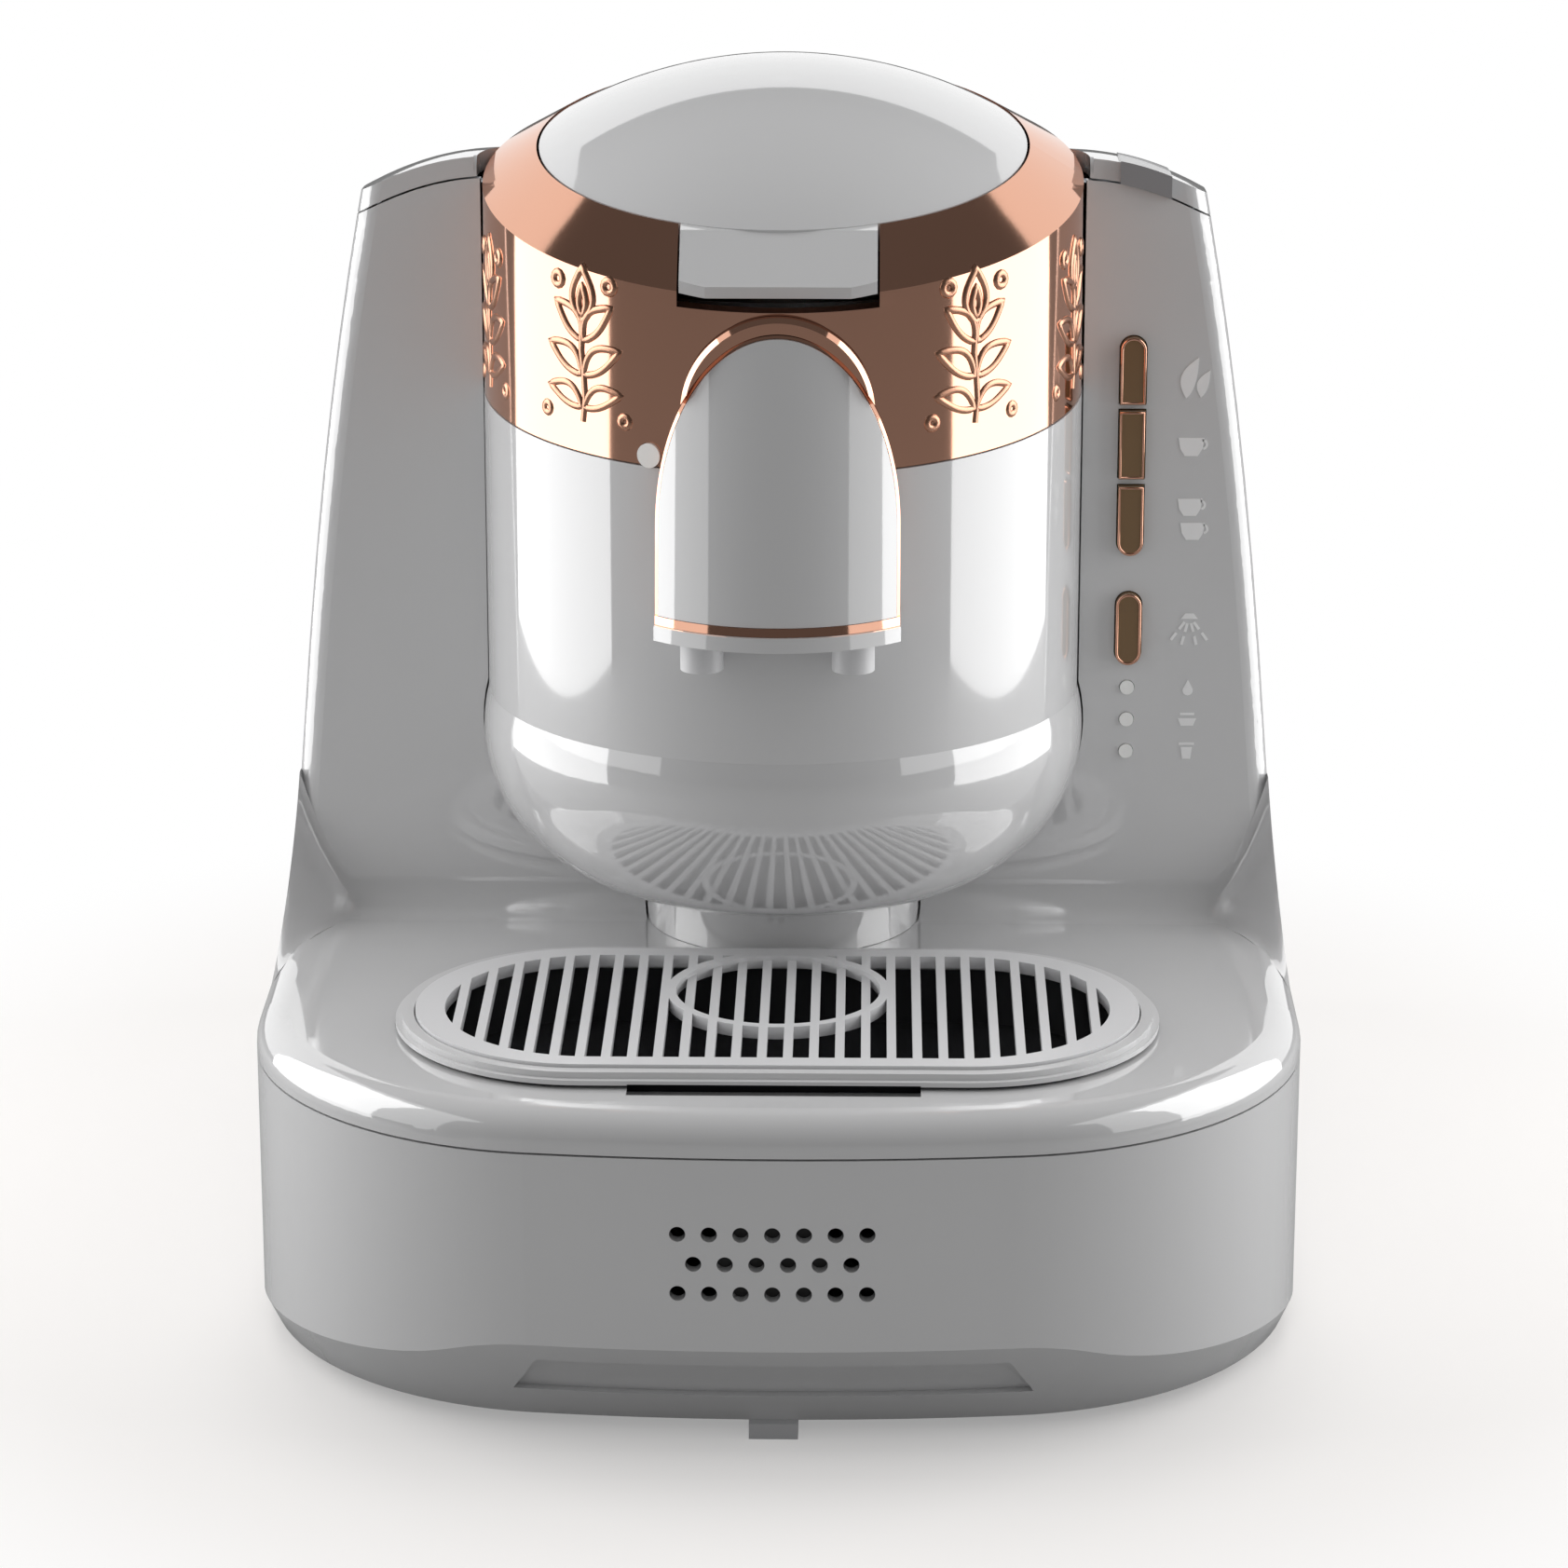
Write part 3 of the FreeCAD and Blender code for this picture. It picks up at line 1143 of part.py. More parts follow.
def arch(grow, foot):
    """The spout's outline seen from the front, drawn out by an even margin and extruded back."""
    half = spout_half + grow
    top = spout_top + grow
    ellipse = Part.Ellipse(Vector(0, 0, top), Vector(half, 0, spout_spring), Vector(0, 0, spout_spring))
    curve = Part.Edge(ellipse)
    disc = Part.Face(Part.Wire([curve])).extrude(Vector(0, 60, 0))
    disc = disc.common(slab(-FAR, FAR, -FAR, FAR, spout_spring, FAR))
    lower = slab(-half, half, 0, 60, foot, spout_spring)
    solid = disc.fuse(lower)
    solid.translate(Vector(0, y_spout - 10, 0))
    return solid


def bulge(grow):
    """The leaning round surface that gives the spout its bowed front."""
    radius = num(S.spout_bulge)
    drum = Part.makeCylinder(radius + grow, 140, Vector(0, radius, -40), UP)
    drum.rotate(Vector(0, 0, 0), RIGHT, -num(S.spout_lean))
    drum.translate(Vector(0, y_spout, spout_foot))
    return drum


spout_shell = arch(0.0, spout_foot).common(bulge(0.0))
spout_room = arch(-num(S.spout_wall), spout_foot - 1).common(bulge(-num(S.spout_wall)))
spout_shell = spout_shell.cut(spout_room).cut(housing_clear)
feature("spout_shell", spout_shell)

trim_proud = num(S.spout_trim_proud)
trim_height = num(S.spout_trim_height)
trim_frame = arch(trim_proud, spout_foot - trim_height).common(bulge(-0.7))
trim_frame = trim_frame.cut(arch(0.06, spout_foot)).cut(bulge(-3.4).common(slab(-FAR, FAR, -FAR, FAR, spout_foot, FAR)))
foot_bar = arch(trim_proud, spout_foot - trim_height).common(bulge(0.2))
foot_bar = foot_bar.common(slab(-FAR, FAR, -FAR, FAR, 0, spout_foot - 0.05))
foot_bar = foot_bar.cut(bulge(-num(S.spout_wall) - 1.2).common(arch(-num(S.spout_wall) - 1.2, 0)))
spout_trim = trim_frame.common(slab(-FAR, FAR, -FAR, FAR, spout_foot - 0.05, FAR)).fuse(foot_bar).cut(housing_clear)
feature("spout_trim", spout_trim)

base_top = spout_foot - trim_height - 0.05
base_height = num(S.spout_base_height)
spout_base = arch(trim_proud + 0.2, base_top - base_height).common(bulge(0.9))
spout_base = spout_base.common(slab(-FAR, FAR, -FAR, FAR, 0, base_top)).cut(housing_clear)
nozzle_x = num(S.spout_nozzle_spacing) / 2
nozzle_y = num(back(S.spout_nozzle_setback))
nozzle_radius = num(S.spout_nozzle_diameter) / 2
for side in (-1, 1):
    spout_base = spout_base.cut(upright(side * nozzle_x, nozzle_y, 0, nozzle_radius + 0.05, FAR))
feature("spout_base", spout_base)

nozzle_low = S.spout_foot_level - S.spout_trim_height - S.spout_base_height - S.spout_nozzle_length
nozzle_run = S.spout_nozzle_length + S.spout_base_height
nozzles = []
for side in (-1, 1):
    at = (S.spout_nozzle_spacing / 2) * side
    outer = rod("nozzle_outer_%d" % side, S.spout_nozzle_diameter, nozzle_run, at, back(S.spout_nozzle_setback),
                nozzle_low)
    bore = rod("nozzle_bore_%d" % side, S.spout_nozzle_bore, nozzle_run + 2.0, at, back(S.spout_nozzle_setback),
               nozzle_low - 1.0)
    nozzles.append(less("nozzle_%d" % side, outer, bore))
keep(group("nozzle_pair", *nozzles), "spout_nozzles")

channel_front = num(S.spout_nozzle_setback) - 2.8
channel_back = num(S.unit_setback) - num(S.ring_diameter) / 2 - 0.7
channel_half = nozzle_x + 2.4
channel = slab(-channel_half, channel_half, y_front + channel_front, y_front + channel_back,
               spout_foot + 0.1, spout_foot + 5.0)
channel_slot = slab(-nozzle_x, nozzle_x, y_front + channel_front + 1.2, y_front + channel_back + 1,
                    spout_foot - 1, spout_foot + 3.6)
feature("spout_channel", channel.cut(channel_slot))

collar_radius = num(S.collar_diameter) / 2
collar_level = num(S.collar_level)
collar_front = y_unit - ring_radius - num(S.collar_proud)
collar = Part.makeCone(collar_radius - 0.8, collar_radius, 1.2, Vector(0, collar_front, collar_level), BACKWARD)
collar_back = Part.makeCylinder(collar_radius, 12, Vector(0, collar_front + 1.2, collar_level), BACKWARD)
collar = collar.fuse(collar_back).cut(upright(0, y_unit, 0, ring_radius + 0.05, FAR))
collar = collar.cut(arch(trim_proud + 0.3, 0)).cut(Part.makeCylinder(10, 30, Vector(0, collar_front - 5, collar_level), BACKWARD))
feature("spout_collar", collar)

# Drip tray and cup grate

tray_top = deck + 0.6 + num(S.tray_lip)
ledge = num(S.tray_ledge)
ledge_top = deck + 0.9
tray_wall = num(S.tray_wall)
# The play lets the basin's front corner swing out of the well when the tray tips up
basin_length = tray_length - well_margin - 2 * num(S.tray_play)
basin_breadth = tray_breadth - well_margin - 2 * num(S.tray_play)
grate_length = num(S.grate_length)
grate_breadth = tray_breadth - (tray_length - grate_length)
grate_clear = 2 * fit
basin_floor = deck - num(S.tray_depth)
rim = prism(stadium(tray_length - 1.6, tray_breadth - 1.6, y_tray, deck + 0.1), 1.0)
rim = rim.fuse(prism(stadium(tray_length, tray_breadth, y_tray, deck + 0.7), 0.9))
rim = rim.fuse(prism(stadium(tray_length - 2.4, tray_breadth - 2.4, y_tray, deck + 1.6), tray_top - deck - 1.6))
basin = prism(stadium(basin_length, basin_breadth, y_tray, basin_floor), deck + 0.2 - basin_floor)
drip_tray = rim.fuse(basin)
drip_tray = drip_tray.cut(prism(stadium(grate_length + grate_clear, grate_breadth + grate_clear, y_tray, ledge_top), 10))
drip_tray = drip_tray.cut(prism(stadium(basin_length - 2 * tray_wall, basin_breadth - 2 * tray_wall, y_tray,
                                        basin_floor + tray_wall), 40))
finger_cut = slab(-num(S.notch_width) / 2, num(S.notch_width) / 2, y_tray - tray_breadth / 2 - 3,
                  y_tray - tray_breadth / 2 + 2.0, 0, deck + 0.9)
# The rear edge is rounded, and the tray tips about the middle of that rounding
pivot_run = tray_length - tray_breadth
pivot_radius = 0.8
pivot = Part.makeCylinder(pivot_radius, pivot_run, Vector(-pivot_run / 2, y_tray + tray_breadth / 2 - 0.6,
                                                          deck + 0.1 + pivot_radius), RIGHT)
feature("drip_tray", drip_tray.cut(finger_cut).removeSplitter().fuse(pivot))

grate_thickness = num(S.grate_thickness)
grate_low = ledge_top + 0.1
slot_length = num(S.slot_length)
slot_breadth = grate_breadth - (grate_length - slot_length) * 0.75
slot_field = prism(stadium(slot_length, slot_breadth, y_tray, grate_low - 1), grate_thickness + 2)
pitch = num(S.bar_pitch)
gap_half = (pitch - num(S.bar_width)) / 2
gaps = []
count = int(slot_length / 2 / pitch)
for i in range(-count, count + 1):
    gaps.append(slab(i * pitch - gap_half, i * pitch + gap_half, -FAR, FAR, 0, FAR))
seat_radius = num(S.seat_diameter) / 2
y_seat = num(back(S.seat_setback))
seat_ring = upright(0, y_seat, grate_low, seat_radius, grate_thickness)
seat_ring = seat_ring.cut(upright(0, y_seat, 0, seat_radius - num(S.seat_width), FAR))
grate = prism(stadium(grate_length, grate_breadth, y_tray, grate_low), grate_thickness)
grate = grate.cut(slot_field.common(Part.makeCompound(gaps)).cut(seat_ring))
dish = upright(0, y_seat, grate_low + grate_thickness - 0.9, seat_radius - num(S.seat_width), 10)
feature("cup_grate", grate.cut(dish))

# Controls: buttons in the tower's face, their switches and lamps on a board behind

board_y = back(S.board_setback)
switches = []
for name, level, height, round_top, round_foot in BUTTONS:
    body = doc.addObject("PartDesign::Body", name + "_cap_body")
    half = S.button_width / 2
    face = outline(body, name + "_face", "XZ_Plane", [
        (S.button_offset - half, level - height / 2), (S.button_offset + half, level - height / 2),
        (S.button_offset + half, level + height / 2), (S.button_offset - half, level + height / 2)])
    pad = body.newObject("PartDesign::Pad", name + "_pad")
    pad.Profile = face
    cap_depth = S.button_proud + S.wall + 1.4
    pad.Length = num(cap_depth)
    pad.setExpression("Length", cap_depth.text)
    pad.Reversed = True
    place(body, 0.0, back(S.tower_setback) - S.button_proud, 0.0)
    if round_top or round_foot:
        run = height - half * (2 if round_top and round_foot else 1)
        centre = level + half / 2 * ((1 if round_foot else 0) - (1 if round_top else 0))
        keeper = block(name + "_keeper", S.button_width, cap_depth * 2, run, S.button_offset,
                       back(S.tower_setback), centre - run / 2)
        ends = []
        if round_top:
            ends.append(rod(name + "_top", S.button_width, cap_depth * 2, S.button_offset,
                            back(S.tower_setback) + cap_depth, centre + run / 2, RIGHT, 90))
        if round_foot:
            ends.append(rod(name + "_foot", S.button_width, cap_depth * 2, S.button_offset,
                            back(S.tower_setback) + cap_depth, centre - run / 2, RIGHT, 90))
        cap = doc.addObject("Part::Common", name + "_cap")
        cap.Base = body
        cap.Tool = joined(name + "_envelope", keeper, *ends)
    else:
        cap = body
    wing = block(name + "_wing", S.button_width + 2.6, 1.2, height - 5.4, S.button_offset,
                 back(S.tower_setback + S.wall) + 0.8, level - (height - 5.4) / 2)
    stem_start = S.tower_setback + S.wall + 0.4
    stem = rod(name + "_stem", S.stem_diameter, S.board_setback - S.switch_height + 0.4 - stem_start,
               S.button_offset, back(S.board_setback - S.switch_height + 0.4), level, RIGHT, 90)
    keep(joined(name + "_button_solid", cap, wing, stem), name + "_button")
    case = block(name + "_switch_case", S.switch_width, S.switch_height - 0.1, S.switch_width, S.button_offset,
                 board_y - (S.switch_height - 0.1) / 2 - 0.1, level - S.switch_width / 2)
    socket = rod(name + "_switch_socket", S.stem_diameter + 0.4, S.switch_height + 2.0, S.button_offset,
                 board_y - 0.7, level, RIGHT, 90)
    switches.append(less(name + "_switch", case, socket))
keep(group("switch_group", *switches), "tact_switches")

lamps = []
for i in (-1, 0, 1):
    lamps.append(rod("lamp_%d" % (i + 1), S.lamp_diameter, S.board_setback - S.tower_setback + 0.3,
                     S.button_offset, board_y - 0.1, S.lamp_level + S.lamp_pitch * i, RIGHT, 90))
keep(group("lamp_group", *lamps), "status_lamps")
keep(block("control_board_plate", S.board_width, S.board_thickness, S.board_high - S.board_low,
           S.button_offset + 1.2, board_y + S.board_thickness / 2, S.board_low), "control_board")

# Inside the base: pump, power board, buzzer, inlet and water tubes

pump_start = S.pump_offset - S.pump_length / 2
pump_radius = S.pump_diameter / 2
pump_y = back(S.pump_setback)
coil = rod("pump_coil", S.pump_diameter, S.pump_length * 0.55, pump_start + S.pump_length * 0.2, pump_y,
           S.pump_level, BACKWARD, 90)
barrel = rod("pump_barrel", S.pump_diameter * 0.55, S.pump_length, pump_start, pump_y, S.pump_level, BACKWARD, 90)
keep(joined("pump_solid", coil, barrel), "water_pump")
mounts = []
for i, share in enumerate((0.08, 0.9)):
    foot = block("pump_mount_block_%d" % i, S.pump_mount_width, S.pump_diameter * 0.8,
                 S.pump_level - plate_top - 0.1, pump_start + S.pump_length * share, pump_y, plate_top + 0.1)
    clear = rod("pump_mount_clear_%d" % i, S.pump_diameter * 0.55 + 0.4, S.pump_mount_width + 4.0,
                pump_start + S.pump_length * share - S.pump_mount_width / 2 - 2.0, pump_y, S.pump_level,
                BACKWARD, 90)
    mounts.append(less("pump_mount_%d" % i, foot, clear))
keep(group("pump_mount_group", *mounts), "pump_mounts")

board = block("power_board_plate", S.power_board_length, S.power_board_depth, S.board_thickness,
              S.power_board_offset, back(S.power_board_setback), S.power_board_level)
coil_block = block("power_board_coil", 22.0, 20.0, 16.0, S.power_board_offset + 18.0,
                   back(S.power_board_setback) + 4.0, S.power_board_level + S.board_thickness - 0.2)
relay = block("power_board_relay", 16.0, 12.0, 12.0, S.power_board_offset - 16.0,
              back(S.power_board_setback) - 8.0, S.power_board_level + S.board_thickness - 0.2)
legs = []
for i in (-1, 1):
    for j in (-1, 1):
        legs.append(rod("power_board_leg_%d%d" % (i + 1, j + 1), 5.0, S.power_board_level - plate_top + 0.1,
                        S.power_board_offset + (S.power_board_length / 2 - 5.0) * i,
                        back(S.power_board_setback) + (S.power_board_depth / 2 - 5.0) * j, plate_top + 0.1))
keep(joined("power_board_solid", board, coil_block, relay, *legs), "power_board")

buzzer_gap = 0.4
keep(rod("buzzer_rod", S.buzzer_diameter, S.buzzer_height, 0.0, back(S.wall + buzzer_gap + S.buzzer_height),
         S.holes_level, RIGHT, 90), "buzzer")

gland_y = back(S.overall_depth - S.wall)
flange = rod("inlet_flange", S.inlet_diameter + 5.0, 2.0, S.inlet_offset, gland_y - 0.1, S.inlet_level, RIGHT, 90)
sleeve = rod("inlet_sleeve", S.inlet_diameter - 0.3, S.wall + 5.0, S.inlet_offset, back(S.overall_depth),
             S.inlet_level, RIGHT, 90)
gland_bore = rod("inlet_bore_rod", S.inlet_bore, 30.0, S.inlet_offset, back(S.overall_depth) + 5.0,
                 S.inlet_level, RIGHT, 90)
keep(less("inlet_cut", joined("inlet_solid", flange, sleeve), gland_bore), "cord_inlet")


def tube(points, radius, bore):
    """A tube along straight runs joined by quarter bends of one radius."""
    bend = 8.0
    edges = []
    last = points[0]
    for i in range(1, len(points) - 1):
        before = (points[i] - points[i - 1]).normalize()
        after = (points[i + 1] - points[i]).normalize()
        start = points[i] - before * bend
        end = points[i] + after * bend
        middle = points[i] + (after - before) * bend * (1 - math.sqrt(0.5))
        edges.append(Part.LineSegment(last, start).toShape())
        edges.append(Part.Arc(start, middle, end).toShape())
        last = end
    edges.append(Part.LineSegment(last, points[-1]).toShape())
    path = Part.Wire(edges)
    direction = points[1] - points[0]
    outer = path.makePipeShell([Part.Wire([Part.Circle(points[0], direction, radius).toShape()])], True, False)
    inner = path.makePipeShell([Part.Wire([Part.Circle(points[0], direction, bore).toShape()])], True, False)
    return outer.cut(inner)


tube_radius = num(S.tube_diameter) / 2
tube_bore = tube_radius - 1.0
pump_end = num(S.pump_offset) + num(S.pump_length) / 2
pump_head = num(S.pump_offset) - num(S.pump_length) / 2
y_pump = num(pump_y)
z_pump = num(S.pump_level)
suction = tube([Vector(0, y_valve, deck - 4.1), Vector(0, y_valve, z_pump), Vector(0, y_pump, z_pump),
                Vector(pump_end + 0.1, y_pump, z_pump)], tube_radius, tube_bore)
feature("suction_tube", suction)
rise_x = pump_head - 11.0
z_feed = num(feed_low)
y_feed = num(back(feed_back))
delivery = tube([Vector(pump_head - 0.1, y_pump, z_pump), Vector(rise_x, y_pump, z_pump),
                 Vector(rise_x, y_pump, z_feed), Vector(rise_x, y_feed, z_feed), Vector(-6.1, y_feed, z_feed)],
                tube_radius, tube_bore)
feature("delivery_tube", delivery)

# Checks, then one file for each sub-part

doc.recompute()
for obj in doc.Objects:
    if "Invalid" in obj.State or "Error" in obj.State:
        raise RuntimeError("%s: %s" % (obj.Name, obj.State))
os.makedirs("parts", exist_ok=True)
for obj in nodes:
    shape = obj.Shape
    if shape.isNull() or not shape.isValid() or shape.Volume <= 0:
        raise RuntimeError("%s has no sound shape" % obj.Label)
    shape.exportStep("parts/%s.step" % obj.Label)
print("%d sub-parts, %d solids" % (len(nodes), sum(len(obj.Shape.Solids) for obj in nodes)))
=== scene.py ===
"""Finishes, fine detail and a pale studio for an electric Turkish coffee maker.

The file is laid out as an add-on and run as a script. Lengths are metres in the model's own frame:
the front faces -Y, +Z is up and the origin lies on the table under the middle of the casing.
"""
import math

import bpy
from bpy.props import FloatProperty, FloatVectorProperty, PointerProperty
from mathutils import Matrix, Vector


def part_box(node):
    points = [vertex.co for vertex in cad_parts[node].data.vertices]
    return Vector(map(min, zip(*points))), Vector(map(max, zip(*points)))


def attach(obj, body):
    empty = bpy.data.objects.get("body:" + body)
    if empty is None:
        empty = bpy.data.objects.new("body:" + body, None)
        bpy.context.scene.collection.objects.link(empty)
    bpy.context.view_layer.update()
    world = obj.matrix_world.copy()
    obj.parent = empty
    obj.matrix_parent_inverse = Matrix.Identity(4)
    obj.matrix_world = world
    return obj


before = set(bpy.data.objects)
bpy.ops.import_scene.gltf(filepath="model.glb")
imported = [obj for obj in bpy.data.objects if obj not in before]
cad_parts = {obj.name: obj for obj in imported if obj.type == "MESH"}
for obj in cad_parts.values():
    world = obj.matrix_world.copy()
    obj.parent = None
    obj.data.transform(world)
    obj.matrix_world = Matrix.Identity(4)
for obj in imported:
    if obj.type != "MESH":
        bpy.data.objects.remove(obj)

bl_info = {
    "name": "Turkish Coffee Maker Dressing",
    "version": (1, 0, 0),
    "blender": (4, 5, 0),
    "location": "3D View > Sidebar > Coffee Maker",
    "description": "Gives the packed coffee maker its finishes, ring ornament, pictograms and studio",
    "category": "Object",
}

MM = 0.001

# Sizes that the buttons and the lamps have in the CAD model
BUTTON_PROUD = 1.6 * MM
BUTTON_HALF_WIDTH = 2.5 * MM
LAMP_DIAMETER = 2.8 * MM

# Where the frame puts the pieces that carry the fine detail
RING_LOW, RING_HIGH = (Vector(corner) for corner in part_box("copper_ring"))
RING_RADIUS = (RING_HIGH.x - RING_LOW.x) / 2
RING_CENTRE_Y = RING_HIGH.y - RING_RADIUS
FACE_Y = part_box("heat_button")[0][1] + BUTTON_PROUD

# Depth of the surface grain, and the part of the noise's range that is used
GRAIN_DEPTH = 0.1 * MM
NOISE_LOW = 0.3
NOISE_HIGH = 0.7

# Where the tray turns from white to painted shade, under the grate, and how softly
BASIN_SHADE_DROP = 0.4 * MM
SPLIT_BLUR = 0.1 * MM

# Numbers of a Mix node's colour sockets, whose names it also gives to other sockets
COLOUR_A = 6
COLOUR_B = 7
COLOUR_RESULT = 2

# Sides of each rounded line, and the copper edge of the buttons
LINE_SIDES = 10
RIM_INSET = 0.3 * MM
RIM_SINK = 0.05 * MM
RIM_RADIUS = 0.28 * MM

# How far the signs of heat, and of one cup and rinse, sit under their buttons' middles, in millimetres
HEAT_DROP = 1.4
SIGN_DROP = 0.6

# Each button, and whether its top and its foot are round
BUTTON_ENDS = (
    ("heat", True, False),
    ("single", False, False),
    ("double", False, True),
    ("clean", True, True),
)

# Places, sizes and levels of the studio
PANEL_DISTANCE = 0.46
PANEL_HEIGHT = 0.30
PANEL_SIZE = (0.46, 0.60)
TOP_PLACE = (0.0, 0.5, 1.5)
TOP_AIM = (0.0, 0.0, 0.1)
TOP_SIZE = (1.2, 0.9)
CARD_LEVEL = 0.10
FRONT_CARD = ((-1.5, -1.5, -0.4), (1.5, -1.5, -0.4), (1.5, -1.5, 1.6), (-1.5, -1.5, 1.6))
CEILING_CARD = ((-0.93, -1.5, 1.4), (0.93, -1.5, 1.4), (0.93, 1.6, 1.4), (-0.93, 1.6, 1.4))
FLOOR_REACH = 6.0
FLOOR_COLOUR = (0.62, 0.60, 0.585, 1.0)
FLOOR_GLOW = 0.32
FLOOR_BOUNCE = (0.40, 0.40, 0.40, 1.0)
FADE_START = 0.16
FADE_END = 0.27
CAMERA_PLACE = (0.0166, -0.9927, 0.3961)
CAMERA_TILT = math.radians(72.8)
CAMERA_TURN = math.radians(0.96)
CAMERA_LENS = 119.57
SENSOR_WIDTH = 36.0


def node_centre(node):
    low, high = (Vector(corner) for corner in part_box(node))
    return (low + high) / 2


def colour(name, text, default):
    return FloatVectorProperty(name=name, description=text, default=default, subtype="COLOR", size=3,
                               min=0.0, max=1.0)


def angle(name, text, degrees):
    return FloatProperty(name=name, description=text, default=math.radians(degrees), subtype="ANGLE")


def power(name, text, default):
    return FloatProperty(name=name, description=text, default=default, unit="POWER")


def length(name, text, default):
    return FloatProperty(name=name, description=text, default=default, unit="LENGTH", precision=5, min=0.0)


class FinishSettings(bpy.types.PropertyGroup):
    """Colours of the finishes"""
    white: colour("Gloss white", "Colour of the glossy casing", (0.66, 0.66, 0.665))
    satin: colour("Satin white", "Colour of the grate and the inner white pieces", (0.74, 0.74, 0.75))
    copper: colour("Copper", "Colour of the polished copper plating", (0.86, 0.47, 0.33))
    engraving: colour("Engraving", "Colour of the ornament's lines", (0.62, 0.33, 0.22))
    button: colour("Button brown", "Colour of the push buttons", (0.060, 0.030, 0.012))
    tank: colour("Tank smoke", "Colour of the see-through tank", (0.62, 0.65, 0.68))
    smoke: colour("Smoke grey", "Colour of the cover's tab", (0.30, 0.30, 0.31))
    pictogram: colour("Pictogram grey", "Colour of the raised pictograms", (0.93, 0.93, 0.93))
    # Painted shade: near black for the inside of the tray under the grate, standing in for the shade in that
    # hollow
    basin_painted_shade: colour("Basin painted shade", "Colour inside the drip tray, under the grate", (0.035, 0.035, 0.038))


class OrnamentSettings(bpy.types.PropertyGroup):
    """Sizes of the sprigs on the ring"""
    line_radius: length("Line radius", "Radius of the rounded line", 0.85 * MM)
    sink: length("Sink", "How deep the line's centre lies under the copper", 0.50 * MM)
    height: length("Sprig height", "Height of one sprig", 31.0 * MM)
    level: length("Level", "Height of the sprig's middle above the table", 190.5 * MM)
    turn: angle("Turn", "How far round the ring the inner sprigs sit from the front", 39.0)
    spacing: angle("Spacing", "Angle from each inner sprig to the outer one beside it", 35.0)


class PictogramSettings(bpy.types.PropertyGroup):
    """Sizes of the pictograms beside the buttons"""
    proud: length("Proud", "How far the signs stand out of the face", 0.12 * MM)
    root: length("Root", "How far the signs reach into the face", 0.10 * MM)
    offset: length("Offset", "Distance of the pictograms' middle from the buttons' middle", 11.9 * MM)


class StudioSettings(bpy.types.PropertyGroup):
    """Light levels of the studio"""
    side_power: power("Side power", "Power of each side panel", 2.2)
    top_power: power("Top power", "Power of the panel above", 7.0)
    fill: FloatProperty(name="Fill", description="Level of the even light from all round", default=0.36)


# Materials


def new_socket(tree, name, kind, direction, default=None):
    socket = tree.interface.new_socket(name=name, in_out=direction, socket_type=kind)
    if default is not None:
        socket.default_value = default


def set_inputs(node, **values):
    """Sets a node's inputs by their names, written with underscores for spaces."""
    for name, number in values.items():
        node.inputs[name.replace("_", " ")].default_value = number


def larger(tree, first, second):
    """The larger of two values."""
    node = tree.nodes.new("ShaderNodeMath")
    node.operation = "MAXIMUM"
    tree.links.new(first, node.inputs[0])
    tree.links.new(second, node.inputs[1])
    return node.outputs[0]


def surface_grain_group():
    """Fine moulding or polishing grain: a changing roughness and a bump height."""
    if "Surface Grain" in bpy.data.node_groups:
        return bpy.data.node_groups["Surface Grain"]
    tree = bpy.data.node_groups.new("Surface Grain", "ShaderNodeTree")
    new_socket(tree, "Vector", "NodeSocketVector", "INPUT")
    new_socket(tree, "Grain Scale", "NodeSocketFloat", "INPUT", 900.0)
    new_socket(tree, "Low Roughness", "NodeSocketFloat", "INPUT", 0.08)
    new_socket(tree, "High Roughness", "NodeSocketFloat", "INPUT", 0.14)
    new_socket(tree, "Roughness", "NodeSocketFloat", "OUTPUT")
    new_socket(tree, "Height", "NodeSocketFloat", "OUTPUT")
    new_socket(tree, "Mottle", "NodeSocketFloat", "OUTPUT")
    inputs = tree.nodes.new("NodeGroupInput")
    outputs = tree.nodes.new("NodeGroupOutput")
    fine = tree.nodes.new("ShaderNodeTexNoise")
    broad = tree.nodes.new("ShaderNodeTexNoise")
    set_inputs(broad, Scale=24.0, Detail=3.0)
    spread = tree.nodes.new("ShaderNodeMapRange")
    tree.links.new(inputs.outputs["Vector"], fine.inputs["Vector"])
    tree.links.new(inputs.outputs["Grain Scale"], fine.inputs["Scale"])
    tree.links.new(inputs.outputs["Vector"], broad.inputs["Vector"])
    tree.links.new(broad.outputs["Fac"], spread.inputs["Value"])
    set_inputs(spread, From_Min=NOISE_LOW, From_Max=NOISE_HIGH)
    tree.links.new(inputs.outputs["Low Roughness"], spread.inputs["To Min"])
    tree.links.new(inputs.outputs["High Roughness"], spread.inputs["To Max"])
    tree.links.new(spread.outputs["Result"], outputs.inputs["Roughness"])
    tree.links.new(fine.outputs["Fac"], outputs.inputs["Height"])
    tree.links.new(broad.outputs["Fac"], outputs.inputs["Mottle"])
    return tree


